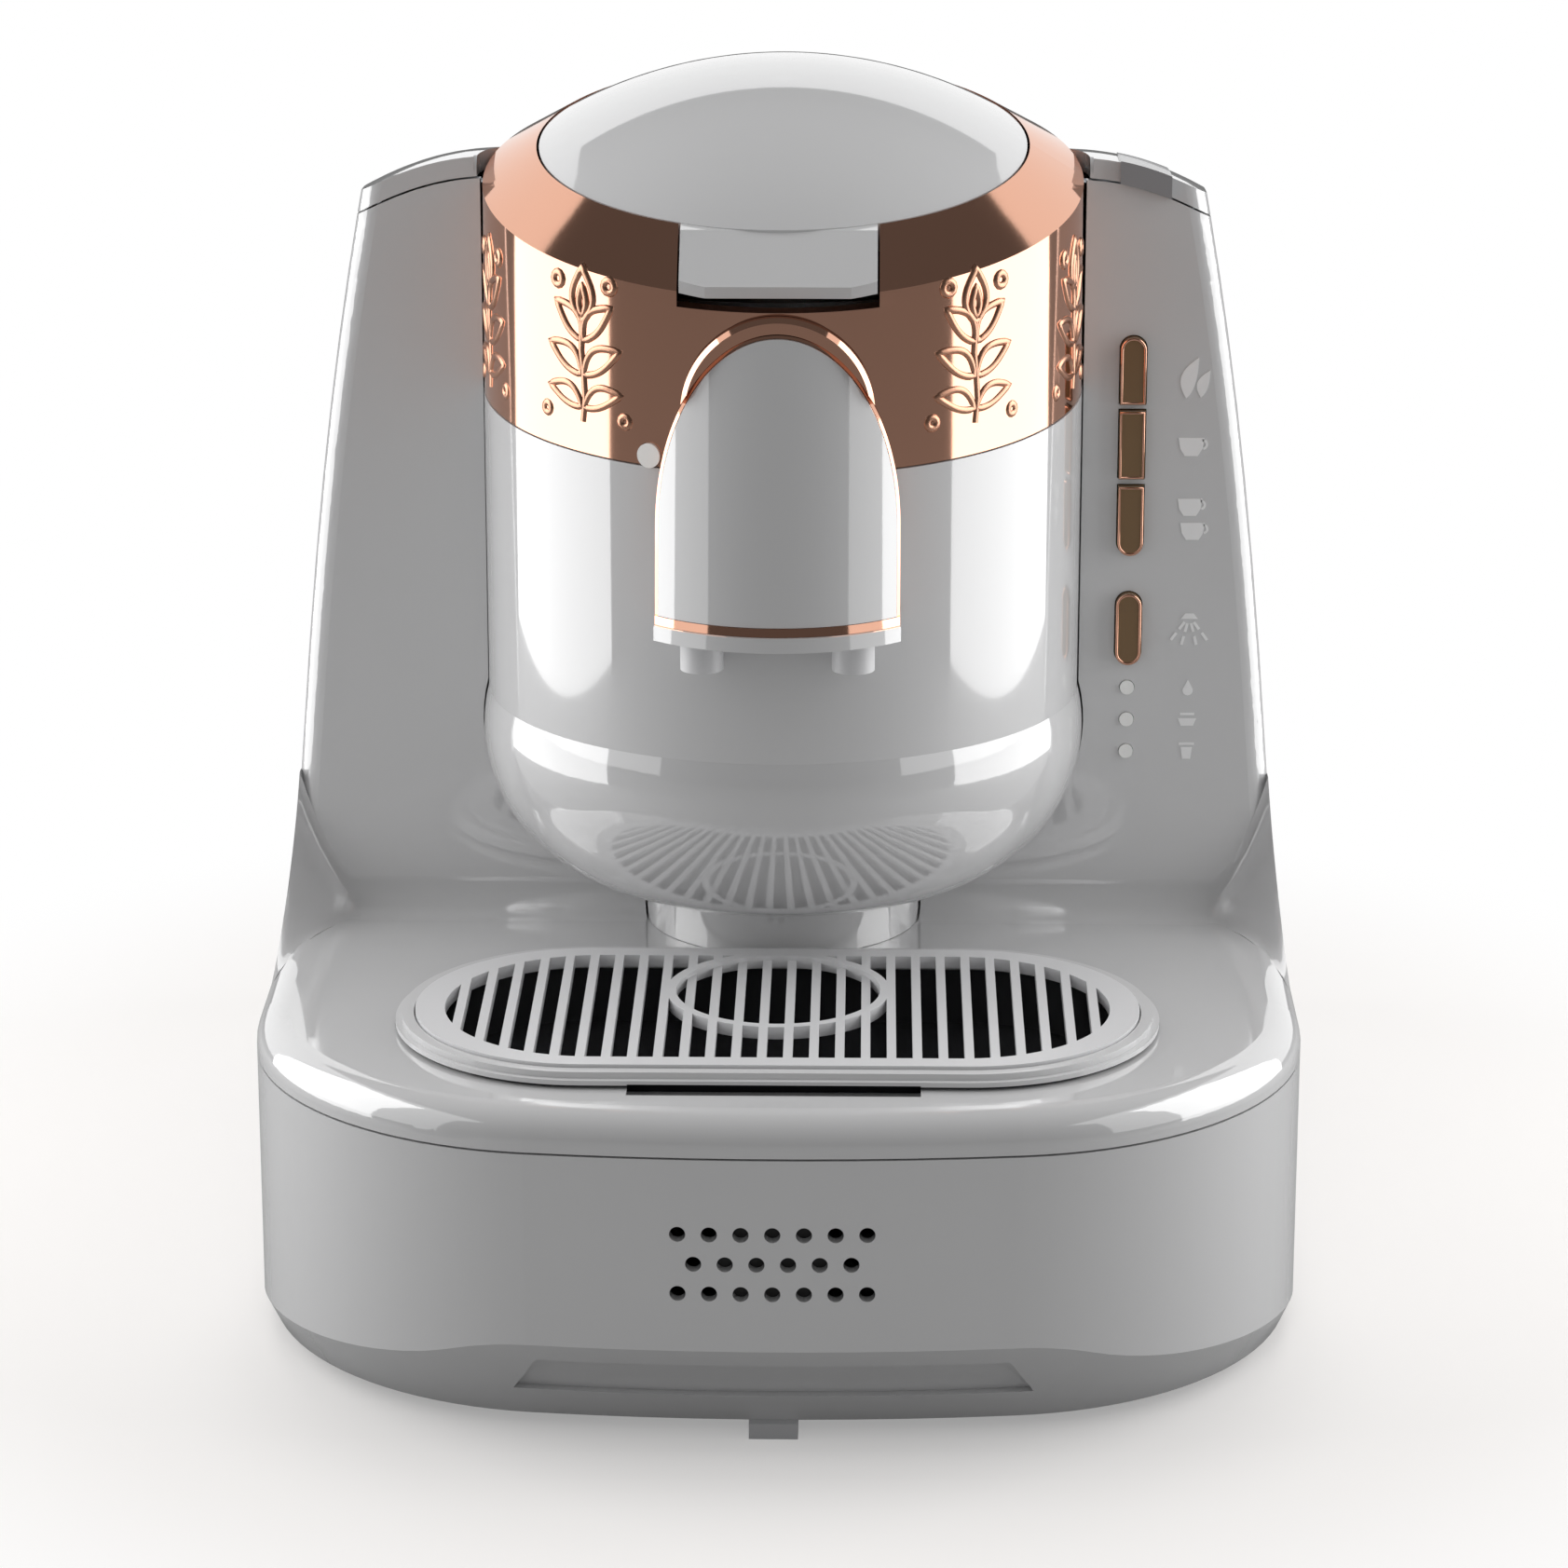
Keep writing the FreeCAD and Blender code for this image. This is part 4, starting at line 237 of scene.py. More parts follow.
def tint_group():
    """Shifts a colour a little lighter and darker over the surface."""
    if "Soft Tint" in bpy.data.node_groups:
        return bpy.data.node_groups["Soft Tint"]
    tree = bpy.data.node_groups.new("Soft Tint", "ShaderNodeTree")
    new_socket(tree, "Colour", "NodeSocketColor", "INPUT", (0.8, 0.8, 0.8, 1.0))
    new_socket(tree, "Mottle", "NodeSocketFloat", "INPUT", 0.5)
    new_socket(tree, "Strength", "NodeSocketFloat", "INPUT", 0.04)
    new_socket(tree, "Colour", "NodeSocketColor", "OUTPUT")
    inputs = tree.nodes.new("NodeGroupInput")
    outputs = tree.nodes.new("NodeGroupOutput")
    darker = tree.nodes.new("ShaderNodeMix")
    darker.data_type = "RGBA"
    darker.blend_type = "MULTIPLY"
    shade = tree.nodes.new("ShaderNodeMapRange")
    set_inputs(shade, From_Min=NOISE_LOW, From_Max=NOISE_HIGH, To_Min=0.55, To_Max=1.0)
    tree.links.new(inputs.outputs["Mottle"], shade.inputs["Value"])
    tree.links.new(inputs.outputs["Strength"], darker.inputs[0])
    tree.links.new(inputs.outputs["Colour"], darker.inputs[COLOUR_A])
    tree.links.new(shade.outputs["Result"], darker.inputs[COLOUR_B])
    tree.links.new(darker.outputs[COLOUR_RESULT], outputs.inputs["Colour"])
    return tree


def finish(name, base, rough=(0.08, 0.14), metallic=0.0, coat=0.0, grain=900.0, bump=0.02, mottle=0.05,
           stretch=(1.0, 1.0, 1.0), transmission=0.0, coat_ior=1.5, specular=0.5):
    """A Principled material whose colour, roughness and bump follow the grain of its surface."""
    if name in bpy.data.materials:
        return bpy.data.materials[name]
    material = bpy.data.materials.new(name)
    material.use_nodes = True
    material.diffuse_color = (*base, 1.0)
    nodes = material.node_tree.nodes
    links = material.node_tree.links
    shader = nodes["Principled BSDF"]
    set_inputs(shader, Metallic=metallic, Coat_Weight=coat, Coat_IOR=coat_ior, Coat_Roughness=0.03,
               Specular_IOR_Level=specular, Transmission_Weight=transmission)
    place = nodes.new("ShaderNodeTexCoord")
    mapping = nodes.new("ShaderNodeMapping")
    mapping.inputs["Scale"].default_value = stretch
    grain_node = nodes.new("ShaderNodeGroup")
    grain_node.node_tree = surface_grain_group()
    set_inputs(grain_node, Grain_Scale=grain, Low_Roughness=rough[0], High_Roughness=rough[1])
    tint = nodes.new("ShaderNodeGroup")
    tint.node_tree = tint_group()
    set_inputs(tint, Colour=(*base, 1.0), Strength=mottle)
    relief = nodes.new("ShaderNodeBump")
    set_inputs(relief, Strength=bump, Distance=GRAIN_DEPTH)
    links.new(place.outputs["Object"], mapping.inputs["Vector"])
    links.new(mapping.outputs["Vector"], grain_node.inputs["Vector"])
    links.new(grain_node.outputs["Mottle"], tint.inputs["Mottle"])
    links.new(tint.outputs["Colour"], shader.inputs["Base Color"])
    links.new(grain_node.outputs["Roughness"], shader.inputs["Roughness"])
    links.new(grain_node.outputs["Height"], relief.inputs["Height"])
    links.new(relief.outputs["Normal"], shader.inputs["Normal"])
    return material


def two_level_finish(name, upper, lower, split):
    """Gloss plastic that is one colour above a height and another below it."""
    material = finish(name, upper)
    nodes = material.node_tree.nodes
    links = material.node_tree.links
    shader = nodes["Principled BSDF"]
    if "Height Split" in nodes:
        return material
    place = nodes["Texture Coordinate"]
    apart = nodes.new("ShaderNodeSeparateXYZ")
    step = nodes.new("ShaderNodeMapRange")
    step.name = "Height Split"
    set_inputs(step, From_Min=split - SPLIT_BLUR, From_Max=split + SPLIT_BLUR)
    blend = nodes.new("ShaderNodeMix")
    blend.data_type = "RGBA"
    blend.inputs[COLOUR_A].default_value = (*lower, 1.0)
    links.new(place.outputs["Object"], apart.inputs["Vector"])
    links.new(apart.outputs["Z"], step.inputs["Value"])
    links.new(step.outputs["Result"], blend.inputs[0])
    links.new(shader.inputs["Base Color"].links[0].from_socket, blend.inputs[COLOUR_B])
    links.new(blend.outputs[COLOUR_RESULT], shader.inputs["Base Color"])
    return material


def gloss_white():
    return finish("gloss_white", bpy.context.scene.maker_finish.white, rough=(0.06, 0.09), coat=1.0,
                  coat_ior=1.75, specular=0.9, bump=0.01, mottle=0.02)


def polished_copper():
    return finish("polished_copper", bpy.context.scene.maker_finish.copper, rough=(0.05, 0.09), metallic=1.0,
                  grain=1400.0, bump=0.01, mottle=0.06, stretch=(1.0, 1.0, 0.2))


def engraved_copper():
    return finish("engraved_copper", bpy.context.scene.maker_finish.engraving, rough=(0.22, 0.34),
                  metallic=1.0, grain=2200.0, bump=0.05, mottle=0.3)


def raised_grey():
    return finish("raised_grey", bpy.context.scene.maker_finish.pictogram, rough=(0.12, 0.2))


# Line work that follows a surface, made by Geometry Nodes


def rounded_line_tree():
    """Turns drawn paths into rounded lines with a named radius and material."""
    if "Rounded Lines" in bpy.data.node_groups:
        return bpy.data.node_groups["Rounded Lines"]
    tree = bpy.data.node_groups.new("Rounded Lines", "GeometryNodeTree")
    new_socket(tree, "Geometry", "NodeSocketGeometry", "INPUT")
    new_socket(tree, "Line Radius", "NodeSocketFloat", "INPUT", 0.3 * MM)
    new_socket(tree, "Line Sides", "NodeSocketInt", "INPUT", LINE_SIDES)
    new_socket(tree, "Material", "NodeSocketMaterial", "INPUT")
    new_socket(tree, "Geometry", "NodeSocketGeometry", "OUTPUT")
    nodes = tree.nodes
    inputs = nodes.new("NodeGroupInput")
    outputs = nodes.new("NodeGroupOutput")
    paths = nodes.new("GeometryNodeMeshToCurve")
    section = nodes.new("GeometryNodeCurvePrimitiveCircle")
    sweep = nodes.new("GeometryNodeCurveToMesh")
    sweep.inputs["Fill Caps"].default_value = True
    smooth = nodes.new("GeometryNodeSetShadeSmooth")
    realize = nodes.new("GeometryNodeRealizeInstances")
    paint = nodes.new("GeometryNodeSetMaterial")
    tree.links.new(inputs.outputs["Geometry"], paths.inputs["Mesh"])
    tree.links.new(inputs.outputs["Line Radius"], section.inputs["Radius"])
    tree.links.new(inputs.outputs["Line Sides"], section.inputs["Resolution"])
    tree.links.new(paths.outputs["Curve"], sweep.inputs["Curve"])
    tree.links.new(section.outputs["Curve"], sweep.inputs["Profile Curve"])
    tree.links.new(sweep.outputs["Mesh"], smooth.inputs["Geometry"])
    tree.links.new(smooth.outputs["Geometry"], realize.inputs["Geometry"])
    tree.links.new(realize.outputs["Geometry"], paint.inputs["Geometry"])
    tree.links.new(inputs.outputs["Material"], paint.inputs["Material"])
    tree.links.new(paint.outputs["Geometry"], outputs.inputs["Geometry"])
    return tree


def input_of(tree, name):
    return next(item.identifier for item in tree.interface.items_tree
                if item.item_type == "SOCKET" and item.in_out == "INPUT" and item.name == name)


def new_object(name, data):
    piece = bpy.data.objects.new(name, data)
    bpy.context.scene.collection.objects.link(piece)
    return piece


def line_piece(name, paths, line_radius, material, body):
    """One mesh of rounded lines along closed and open paths of points; it rides on a body."""
    points = []
    edges = []
    for path, closed in paths:
        first = len(points)
        points.extend(path)
        edges.extend((first + i, first + i + 1) for i in range(len(path) - 1))
        if closed:
            edges.append((first + len(path) - 1, first))
    drawing = bpy.data.meshes.new(name + "_paths")
    drawing.from_pydata(points, edges, [])
    piece = new_object(name, drawing)
    tree = rounded_line_tree()
    lines = piece.modifiers.new("Rounded Lines", "NODES")
    lines.node_group = tree
    lines[input_of(tree, "Line Radius")] = line_radius
    lines[input_of(tree, "Line Sides")] = LINE_SIDES
    lines[input_of(tree, "Material")] = material
    bpy.context.view_layer.update()
    evaluated = piece.evaluated_get(bpy.context.evaluated_depsgraph_get())
    solid = bpy.data.meshes.new_from_object(evaluated)
    piece.modifiers.clear()
    piece.data = solid
    solid.name = name
    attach(piece, body)


def plate_piece(name, outlines, front, back, material, body):
    """Flat raised plates from closed outlines of x, z points, between two depths; they ride on a body."""
    points = []
    faces = []
    for outline in outlines:
        count = len(outline)
        first = len(points)
        points.extend((x, front, z) for x, z in outline)
        points.extend((x, back, z) for x, z in outline)
        faces.append([first + i for i in range(count)])
        faces.append([first + count + i for i in reversed(range(count))])
        for i in range(count):
            after = (i + 1) % count
            faces.append([first + i, first + count + i, first + count + after, first + after])
    mesh = bpy.data.meshes.new(name)
    mesh.from_pydata(points, [], faces)
    mesh.materials.append(material)
    piece = new_object(name, mesh)
    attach(piece, body)


def arc(cx, cy, radius, start, end, steps):
    """Points along an arc, with angles in degrees."""
    return [(cx + radius * math.cos(math.radians(start + (end - start) * i / steps)),
             cy + radius * math.sin(math.radians(start + (end - start) * i / steps)))
            for i in range(steps + 1)]


def leaf(x, y, turn, reach, width, bend=0.0):
    """A closed almond outline that starts at x, y and points along turn, in degrees."""
    steps = 12
    # Under 1, this moves the widest place toward the stem
    lean = 0.85
    heading = math.radians(turn)
    outline = []
    for side in (1, -1):
        order = range(steps) if side == 1 else range(steps, 0, -1)
        for i in order:
            share = i / steps
            along = reach * share
            across = side * width / 2 * math.sin(math.pi * share ** lean) + bend * math.sin(math.pi * share)
            outline.append((x + along * math.cos(heading) - across * math.sin(heading),
                            y + along * math.sin(heading) + across * math.cos(heading)))
    return outline


# Operators, one for each group of pieces


FINISHES = {
    "gloss_white": ("base_shell", "upper_casing", "brew_housing", "spout_shell", "spout_base",
                    "tank_cover", "lid_shell"),
    "copper": ("copper_ring", "spout_trim", "spout_collar"),
    "satin": ("cup_grate", "hinge_bracket", "lid_liner", "spout_nozzles"),
    "button": ("heat_button", "single_button", "double_button", "clean_button"),
    "tank": ("water_tank",),
    "tab": ("cover_tab",),
    "grey": ("base_plate", "front_tab"),
    "black": ("pot_carrier", "spout_channel", "tank_valve", "cord_inlet", "buzzer", "tact_switches",
              "solenoid", "water_pump"),
    "lamp": ("status_lamps", "indicator_lens"),
    "steel": ("brew_pot", "lid_hinge_pin", "cover_hinge_pin", "casing_screws", "outlet_plunger",
              "water_nozzle"),
    "aluminium": ("heater_plate", "thermostat"),
    "silicone": ("outlet_valve_seat", "outlet_tube", "suction_tube", "delivery_tube", "lid_gasket",
                 "tank_seal"),
    "rubber": ("rubber_feet", "pump_mounts"),
    "circuit": ("control_board", "power_board"),
    "tray": ("drip_tray",),
}


class MAKER_OT_finishes(bpy.types.Operator):
    """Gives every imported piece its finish"""
    bl_idname = "maker.finishes"
    bl_label = "Finishes"

    def execute(self, context):
        colours = context.scene.maker_finish
        grate_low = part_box("cup_grate")[0][2]
        made = {
            "gloss_white": gloss_white(),
            "copper": polished_copper(),
            "satin": finish("satin_white", colours.satin, rough=(0.30, 0.40), bump=0.06),
            "button": finish("button_brown", colours.button, rough=(0.10, 0.16), coat=0.6, mottle=0.2),
            "tank": finish("smoke_tank", colours.tank, rough=(0.05, 0.09), transmission=0.75),
            "tab": finish("smoke_tab", colours.smoke, rough=(0.18, 0.26), coat=0.4, mottle=0.12),
            "grey": finish("grey_plastic", (0.42, 0.42, 0.43), rough=(0.4, 0.55), bump=0.1),
            "black": finish("black_plastic", (0.02, 0.02, 0.021), rough=(0.35, 0.5), bump=0.1),
            "lamp": finish("lamp_white", (0.9, 0.9, 0.88), rough=(0.05, 0.1), coat=0.3, transmission=0.6),
            "steel": finish("brushed_steel", (0.62, 0.62, 0.63), rough=(0.2, 0.34), metallic=1.0,
                            grain=1600.0, bump=0.08, stretch=(1.0, 1.0, 14.0)),
            "aluminium": finish("satin_aluminium", (0.7, 0.7, 0.72), rough=(0.3, 0.42), metallic=1.0,
                                bump=0.08),
            "silicone": finish("milky_silicone", (0.66, 0.65, 0.62), rough=(0.45, 0.6)),
            "rubber": finish("dark_rubber", (0.03, 0.03, 0.03), rough=(0.6, 0.8), bump=0.2),
            "circuit": finish("circuit_green", (0.02, 0.13, 0.06), rough=(0.3, 0.5), mottle=0.4),
            # The tray is white above and painted shade below a level just under the grate
            "tray": two_level_finish("tray_white_and_painted_shade", colours.white, colours.basin_painted_shade, grate_low - BASIN_SHADE_DROP),
        }
        for key, nodes in FINISHES.items():
            for node in nodes:
                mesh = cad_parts[node].data
                mesh.materials.clear()
                mesh.materials.append(made[key])
        return {"FINISHED"}


def sprig_paths(height):
    """A stem with paired leaves, a bud and dots, drawn about its own middle in metres."""
    drawn_height = 28.0
    unit = height / drawn_height
    drawn = [
        ([(0.0, -13.0), (0.5, -9.0), (0.2, -5.0), (-0.3, -1.0), (0.0, 4.0)], False),
        (leaf(0.0, 4.0, 90, 9.0, 4.6), True),
        (leaf(0.0, 5.0, 90, 5.0, 1.6), True),
    ]
    pairs = ((-10.5, 20, 8.2, 3.2), (-5.0, 32, 8.8, 3.6), (0.8, 46, 8.4, 3.4))
    for side in (-1, 1):
        for level, turn, reach, width in pairs:
            outward = turn if side == 1 else 180 - turn
            drawn.append((leaf(0.2 * side, level, outward, reach, width, bend=0.7 * side), True))
        drawn.append((arc(side * 5.6, 10.4, 1.1, 0, 330, 11), True))
        drawn.append((arc(side * 8.6, -12.0, 0.9, 0, 330, 11), True))
    return [([(x * unit, y * unit) for x, y in path], closed) for path, closed in drawn]


class MAKER_OT_ornament(bpy.types.Operator):
    """Lays four plain leafy sprigs round the copper ring"""
    bl_idname = "maker.ornament"
    bl_label = "Ring Ornament"

    def execute(self, context):
        sizes = context.scene.maker_ornament
        reach = RING_RADIUS - sizes.sink
        wrapped = []
        outer = sizes.turn + sizes.spacing
        for place in (-outer, -sizes.turn, sizes.turn, outer):
            for path, closed in sprig_paths(sizes.height):
                points = []
                for across, up in path:
                    turn = place + across / reach
                    y = RING_CENTRE_Y - reach * math.cos(turn)
                    points.append((reach * math.sin(turn), y, sizes.level + up))
                wrapped.append((points, closed))
        line_piece("ring_ornament", wrapped, sizes.line_radius, engraved_copper(), "casing")
        return {"FINISHED"}


def cup_outlines(x, z, width, tall):
    """A cup from the side with a round handle, as filled outlines."""
    half = width / 2
    waist = half * 0.86
    foot = half * 0.5
    bowl = [(x - half, z + tall / 2), (x - waist, z - tall * 0.1), (x - foot, z - tall / 2),
            (x + foot, z - tall / 2), (x + waist, z - tall * 0.1), (x + half, z + tall / 2)]
    reach = tall * 0.30
    hole = reach * 0.55
    outer = arc(x + waist, z + tall * 0.14, reach, 88, -80, 10)
    inner = arc(x + waist, z + tall * 0.14, hole, -80, 88, 10)
    return [bowl, outer + inner]


def drop_outline(x, z, width, tall):
    """A drop with its point up."""
    half = width / 2
    return arc(x, z - tall / 2 + half, half, 20, -200, 14) + [(x, z + tall / 2)]


def bar(x0, z0, x1, z1, width):
    """A straight bar between two points."""
    run = math.hypot(x1 - x0, z1 - z0)
    across_x = -(z1 - z0) / run * width / 2
    across_z = (x1 - x0) / run * width / 2
    return [(x0 + across_x, z0 + across_z), (x1 + across_x, z1 + across_z), (x1 - across_x, z1 - across_z),
            (x0 - across_x, z0 - across_z)]


def pictogram_outlines(x, levels):
    """Plain signs for heat, one cup, two cups, rinse, water, tray and bin, in millimetres."""
    heat, single, double, rinse, water, tray, waste = levels
    jet_width = 0.55
    rim_width = 0.5
    drawn = [leaf(x - 1.6, heat - 4.2, 74, 8.4, 3.0, bend=0.7),
             leaf(x + 1.2, heat - 4.0, 72, 5.6, 2.2, bend=0.5)]
    drawn += cup_outlines(x - 0.4, single, 5.0, 3.6)
    drawn += cup_outlines(x - 0.4, double + 2.5, 4.8, 3.4)
    drawn += cup_outlines(x + 0.2, double - 2.3, 4.8, 3.4)
    drawn.append([(x - 1.7, rinse + 2.4), (x + 1.7, rinse + 2.4), (x + 0.8, rinse + 3.5),
                  (x - 0.8, rinse + 3.5)])
    head = rinse + 3.0
    for spray in (-126, -104, -76, -54):
        dx = math.cos(math.radians(spray))
        dz = math.sin(math.radians(spray))
        for start, end in ((1.5, 3.3), (4.2, 6.0)):
            drawn.append(bar(x + dx * start, head + dz * start, x + dx * end, head + dz * end, jet_width))
    drawn.append(drop_outline(x, water, 2.0, 3.2))
    drawn.append([(x - 1.8, tray + 0.2), (x - 1.2, tray - 1.3), (x + 1.2, tray - 1.3),
                  (x + 1.8, tray + 0.2)])
    drawn.append(bar(x - 1.4, tray + 1.1, x + 1.4, tray + 1.1, rim_width))
    drawn.append([(x - 1.1, waste + 0.8), (x - 0.8, waste - 1.6), (x + 0.8, waste - 1.6),
                  (x + 1.1, waste + 0.8)])
    drawn.append(bar(x - 1.5, waste + 1.5, x + 1.5, waste + 1.5, rim_width))
    return drawn


class MAKER_OT_pictograms(bpy.types.Operator):
    """Raises a plain pictogram beside each button and lamp"""
    bl_idname = "maker.pictograms"
    bl_label = "Pictograms"

    def execute(self, context):
        sizes = context.scene.maker_pictogram
        heat, single, double, clean = (node_centre(node).z / MM for node in FINISHES["button"])
        lamps = node_centre("status_lamps").z / MM
        low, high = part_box("status_lamps")
        pitch = (high[2] - low[2] - LAMP_DIAMETER) / MM / 2
        levels = [heat - HEAT_DROP, single - SIGN_DROP, double, clean - SIGN_DROP,
                  lamps + pitch, lamps, lamps - pitch]
        x = (node_centre("heat_button").x + sizes.offset) / MM
        placed = [[(px * MM, pz * MM) for px, pz in outline] for outline in pictogram_outlines(x, levels)]
        plate_piece("pictograms", placed, FACE_Y - sizes.proud, FACE_Y + sizes.root, raised_grey(),
                    "casing")
        return {"FINISHED"}


class MAKER_OT_button_rims(bpy.types.Operator):
    """Sets a thin copper edge on the face of each button"""
    bl_idname = "maker.button_rims"
    bl_label = "Button Rims"

    def execute(self, context):
        for key, round_top, round_foot in BUTTON_ENDS:
            low, high = (Vector(corner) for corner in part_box(key + "_button"))
            mid = (low.x + high.x) / 2
            half = BUTTON_HALF_WIDTH - RIM_INSET
            top = high.z - RIM_INSET
            foot = low.z + RIM_INSET
            outline = []
            if round_top:
                outline += arc(mid, top - half, half, 0, 180, 12)
            else:
                outline += [(mid + half, top), (mid - half, top)]
            if round_foot:
                outline += arc(mid, foot + half, half, 180, 360, 12)
            else:
                outline += [(mid - half, foot), (mid + half, foot)]
            path = [(x, low.y + RIM_SINK, z) for x, z in outline]
            line_piece(key + "_button_rim", [(path, True)], RIM_RADIUS, polished_copper(), key + "_key")
        return {"FINISHED"}


# Studio


def card(name, corners, level):
    """A flat card seen only in reflections."""
    mesh = bpy.data.meshes.new(name)
    mesh.from_pydata(corners, [], [tuple(range(len(corners)))])
    piece = new_object(name, mesh)
    material = bpy.data.materials.new(name + "_paint")
    material.use_nodes = True
    nodes = material.node_tree.nodes
    nodes.clear()
    glow = nodes.new("ShaderNodeEmission")
    glow.inputs["Color"].default_value = (level, level, level, 1.0)
    output = nodes.new("ShaderNodeOutputMaterial")
    material.node_tree.links.new(glow.outputs["Emission"], output.inputs["Surface"])
    mesh.materials.append(material)
    piece.visible_camera = False
    piece.visible_diffuse = False
    piece.visible_shadow = False
    piece.visible_transmission = False


def panel_light(name, place, aim, size, watts):
    """A soft rectangular lamp that points at a place and isn't seen by the camera."""
    data = bpy.data.lights.new(name, "AREA")
    data.shape = "RECTANGLE"
    data.size, data.size_y = size
    data.energy = watts
    lamp = new_object(name, data)
    lamp.location = place
    lamp.rotation_euler = (Vector(aim) - Vector(place)).to_track_quat("-Z", "Y").to_euler()
    lamp.visible_camera = False
    return lamp


class MAKER_OT_studio(bpy.types.Operator):
    """Builds the floor, the lights, the world and the camera"""
    bl_idname = "maker.studio"
    bl_label = "Studio"

    def execute(self, context):
        levels = context.scene.maker_studio
        scene = context.scene
        scene.view_settings.view_transform = "Standard"
        self.world(scene, levels)
        self.floor()
        for side, name in ((-1, "left_panel"), (1, "right_panel")):
            place = (side * PANEL_DISTANCE, 0.0, PANEL_HEIGHT)
            panel_light(name, place, (0.0, 0.0, PANEL_HEIGHT), PANEL_SIZE, levels.side_power)
        top = panel_light("top_panel", TOP_PLACE, TOP_AIM, TOP_SIZE, levels.top_power)
        top.visible_glossy = False
        card("front_card", FRONT_CARD, CARD_LEVEL)
        card("ceiling_card", CEILING_CARD, CARD_LEVEL)
        self.camera(scene)
        return {"FINISHED"}

    def world(self, scene, levels):
        """White where it is seen or mirrored, and an even fill for the rest."""
        world = bpy.data.worlds.new("studio_world")
        scene.world = world
        world.use_nodes = True
        nodes = world.node_tree.nodes
        links = world.node_tree.links
        background = nodes["Background"]
        background.inputs["Color"].default_value = (1.0, 1.0, 1.0, 1.0)
        path = nodes.new("ShaderNodeLightPath")
        level = nodes.new("ShaderNodeMapRange")
        set_inputs(level, To_Min=levels.fill, To_Max=1.0)
        seen = larger(world.node_tree, path.outputs["Is Camera Ray"], path.outputs["Is Glossy Ray"])
        shown = larger(world.node_tree, seen, path.outputs["Is Transmission Ray"])
        links.new(shown, level.inputs["Value"])
        links.new(level.outputs["Result"], background.inputs["Strength"])

    def floor(self):
        """A pale floor that takes the shadow near the object and fades to white farther out."""
        mesh = bpy.data.meshes.new("floor")
        corners = [(x * FLOOR_REACH, y * FLOOR_REACH, 0.0) for x, y in ((-1, -1), (1, -1), (1, 1), (-1, 1))]
        mesh.from_pydata(corners, [], [(0, 1, 2, 3)])
        floor = new_object("floor", mesh)
        material = bpy.data.materials.new("pale_floor")
        material.use_nodes = True
        nodes = material.node_tree.nodes
        links = material.node_tree.links
        nodes.clear()
        lit = nodes.new("ShaderNodeBsdfDiffuse")
        lit.inputs["Color"].default_value = FLOOR_COLOUR
        glow = nodes.new("ShaderNodeEmission")
        glow.inputs["Strength"].default_value = FLOOR_GLOW
        both = nodes.new("ShaderNodeAddShader")
        plain = nodes.new("ShaderNodeBsdfDiffuse")
        plain.inputs["Color"].default_value = FLOOR_BOUNCE
        path = nodes.new("ShaderNodeLightPath")
        seen = larger(material.node_tree, path.outputs["Is Camera Ray"], path.outputs["Is Transmission Ray"])
        mix = nodes.new("ShaderNodeMixShader")
        place = nodes.new("ShaderNodeTexCoord")
        away = nodes.new("ShaderNodeVectorMath")
        away.operation = "LENGTH"
        fade = nodes.new("ShaderNodeMapRange")
        fade.interpolation_type = "SMOOTHSTEP"
        set_inputs(fade, From_Min=FADE_START, From_Max=FADE_END)
        white = nodes.new("ShaderNodeEmission")
        faded = nodes.new("ShaderNodeMixShader")
        output = nodes.new("ShaderNodeOutputMaterial")
        links.new(place.outputs["Object"], away.inputs[0])
        links.new(away.outputs["Value"], fade.inputs["Value"])
        links.new(fade.outputs["Result"], faded.inputs[0])
        links.new(both.outputs[0], faded.inputs[1])
        links.new(white.outputs[0], faded.inputs[2])
        links.new(lit.outputs[0], both.inputs[0])
        links.new(glow.outputs[0], both.inputs[1])
        links.new(seen, mix.inputs[0])
        links.new(plain.outputs[0], mix.inputs[1])
        links.new(faded.outputs[0], mix.inputs[2])
        links.new(mix.outputs[0], output.inputs["Surface"])
        mesh.materials.append(material)

    def camera(self, scene):
        """A long lens from the front, a little above the object."""
        data = bpy.data.cameras.new("front_camera")
        data.sensor_width = SENSOR_WIDTH
        data.lens = CAMERA_LENS
        camera = new_object("front_camera", data)
        camera.location = CAMERA_PLACE
        camera.rotation_euler = (CAMERA_TILT, 0.0, CAMERA_TURN)
        scene.camera = camera


class MAKER_PT_panel(bpy.types.Panel):
    """Lists the steps that dress the coffee maker"""
    bl_idname = "MAKER_PT_panel"
    bl_label = "Coffee Maker"
    bl_space_type = "VIEW_3D"
    bl_region_type = "UI"
    bl_category = "Coffee Maker"

    def draw(self, context):
        for step in STEPS:
            self.layout.operator(step.bl_idname)


STEPS = (MAKER_OT_finishes, MAKER_OT_ornament, MAKER_OT_pictograms, MAKER_OT_button_rims, MAKER_OT_studio)
GROUPS = (FinishSettings, OrnamentSettings, PictogramSettings, StudioSettings)


def register():
    for group in GROUPS:
        bpy.utils.register_class(group)
    for step in STEPS:
        bpy.utils.register_class(step)
    bpy.utils.register_class(MAKER_PT_panel)
    bpy.types.Scene.maker_finish = PointerProperty(type=FinishSettings)
    bpy.types.Scene.maker_ornament = PointerProperty(type=OrnamentSettings)
    bpy.types.Scene.maker_pictogram = PointerProperty(type=PictogramSettings)
    bpy.types.Scene.maker_studio = PointerProperty(type=StudioSettings)


def unregister():
    for name in ("maker_studio", "maker_pictogram", "maker_ornament", "maker_finish"):
        delattr(bpy.types.Scene, name)
    bpy.utils.unregister_class(MAKER_PT_panel)
    for step in reversed(STEPS):
        bpy.utils.unregister_class(step)
    for group in reversed(GROUPS):
        bpy.utils.unregister_class(group)


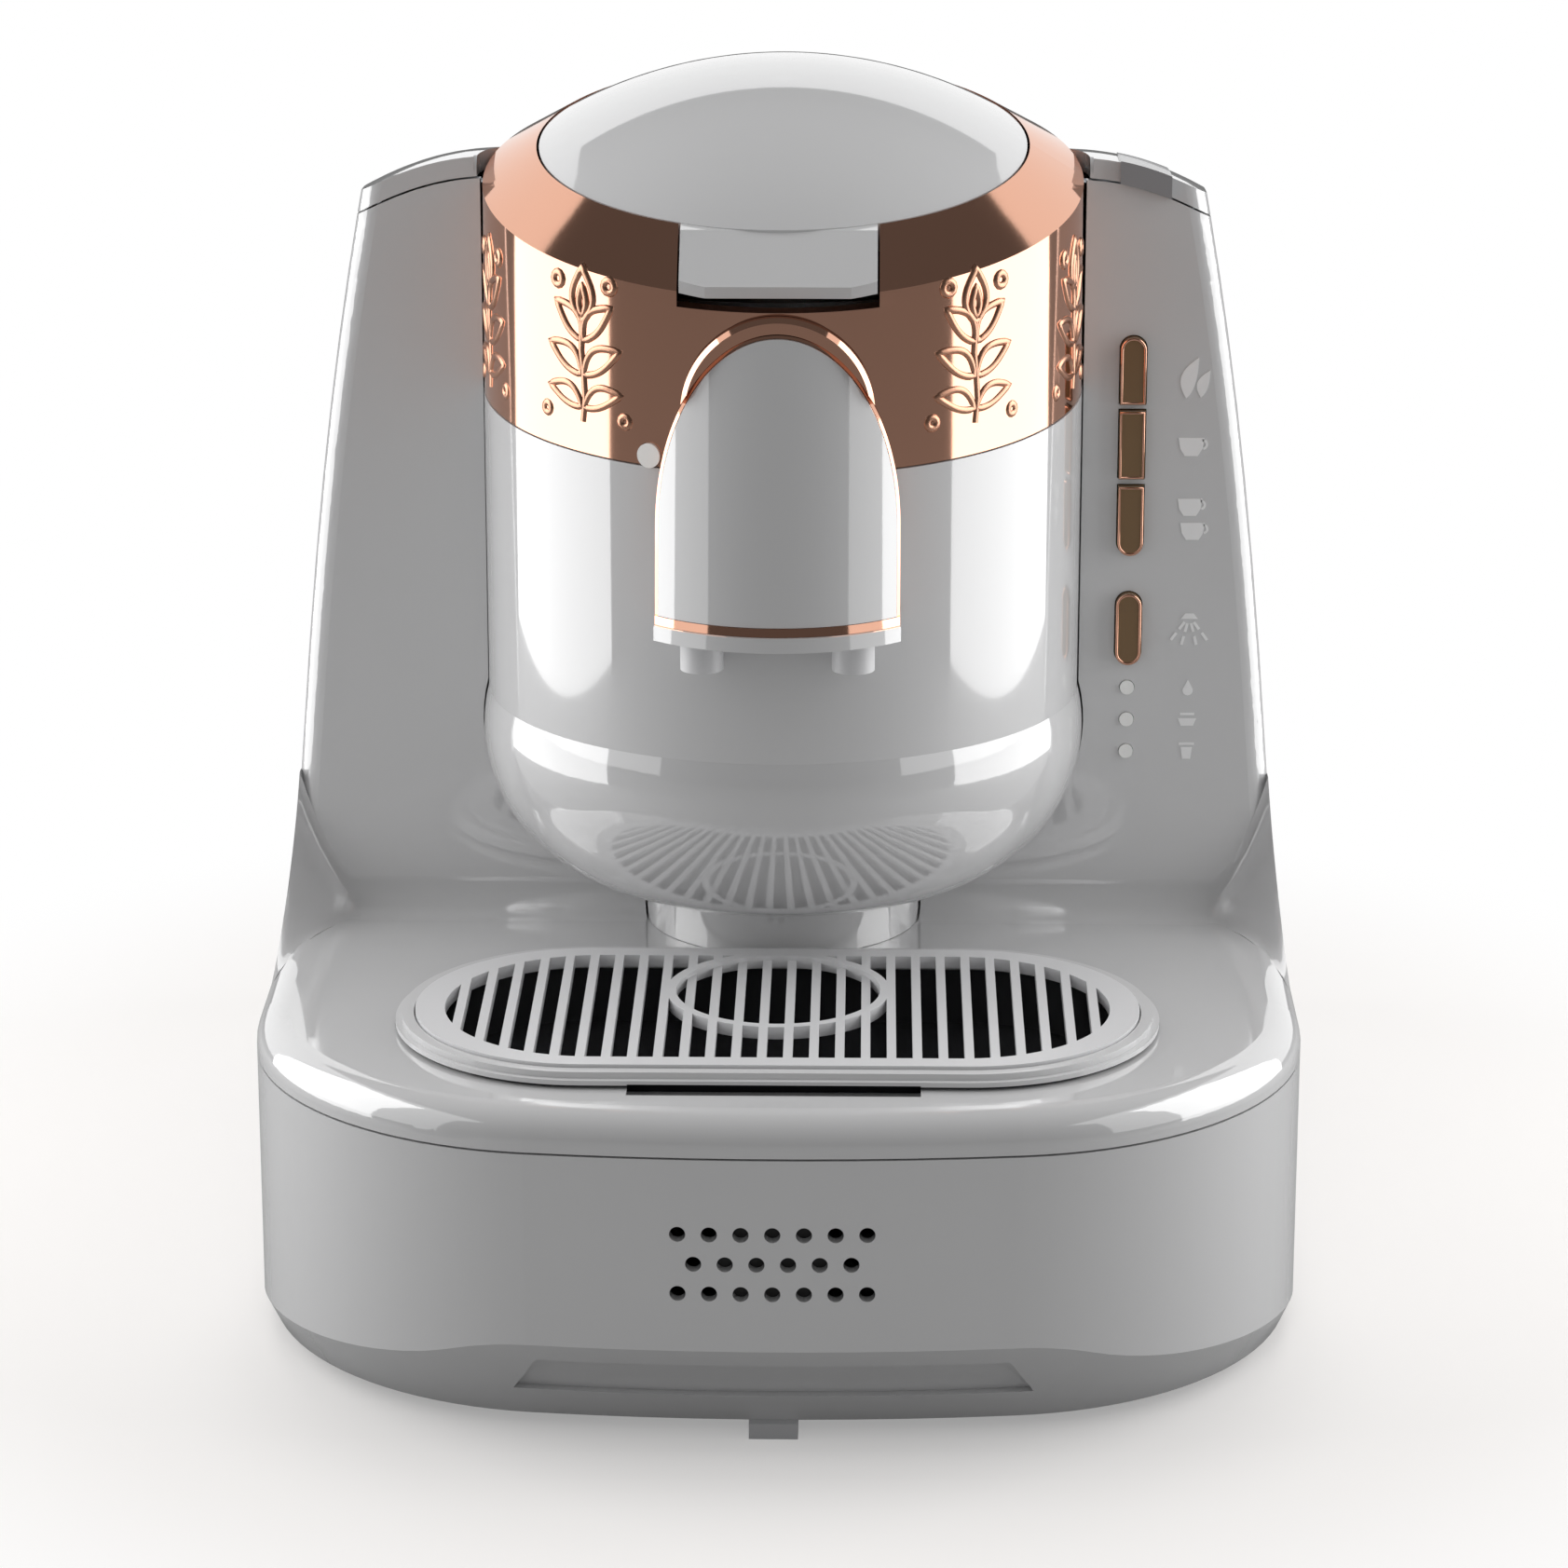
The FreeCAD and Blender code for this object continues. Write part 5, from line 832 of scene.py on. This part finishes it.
def main():
    register()
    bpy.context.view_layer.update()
    bpy.ops.maker.finishes()
    bpy.ops.maker.ornament()
    bpy.ops.maker.pictograms()
    bpy.ops.maker.button_rims()
    bpy.ops.maker.studio()


if __name__ == "__main__":
    main()
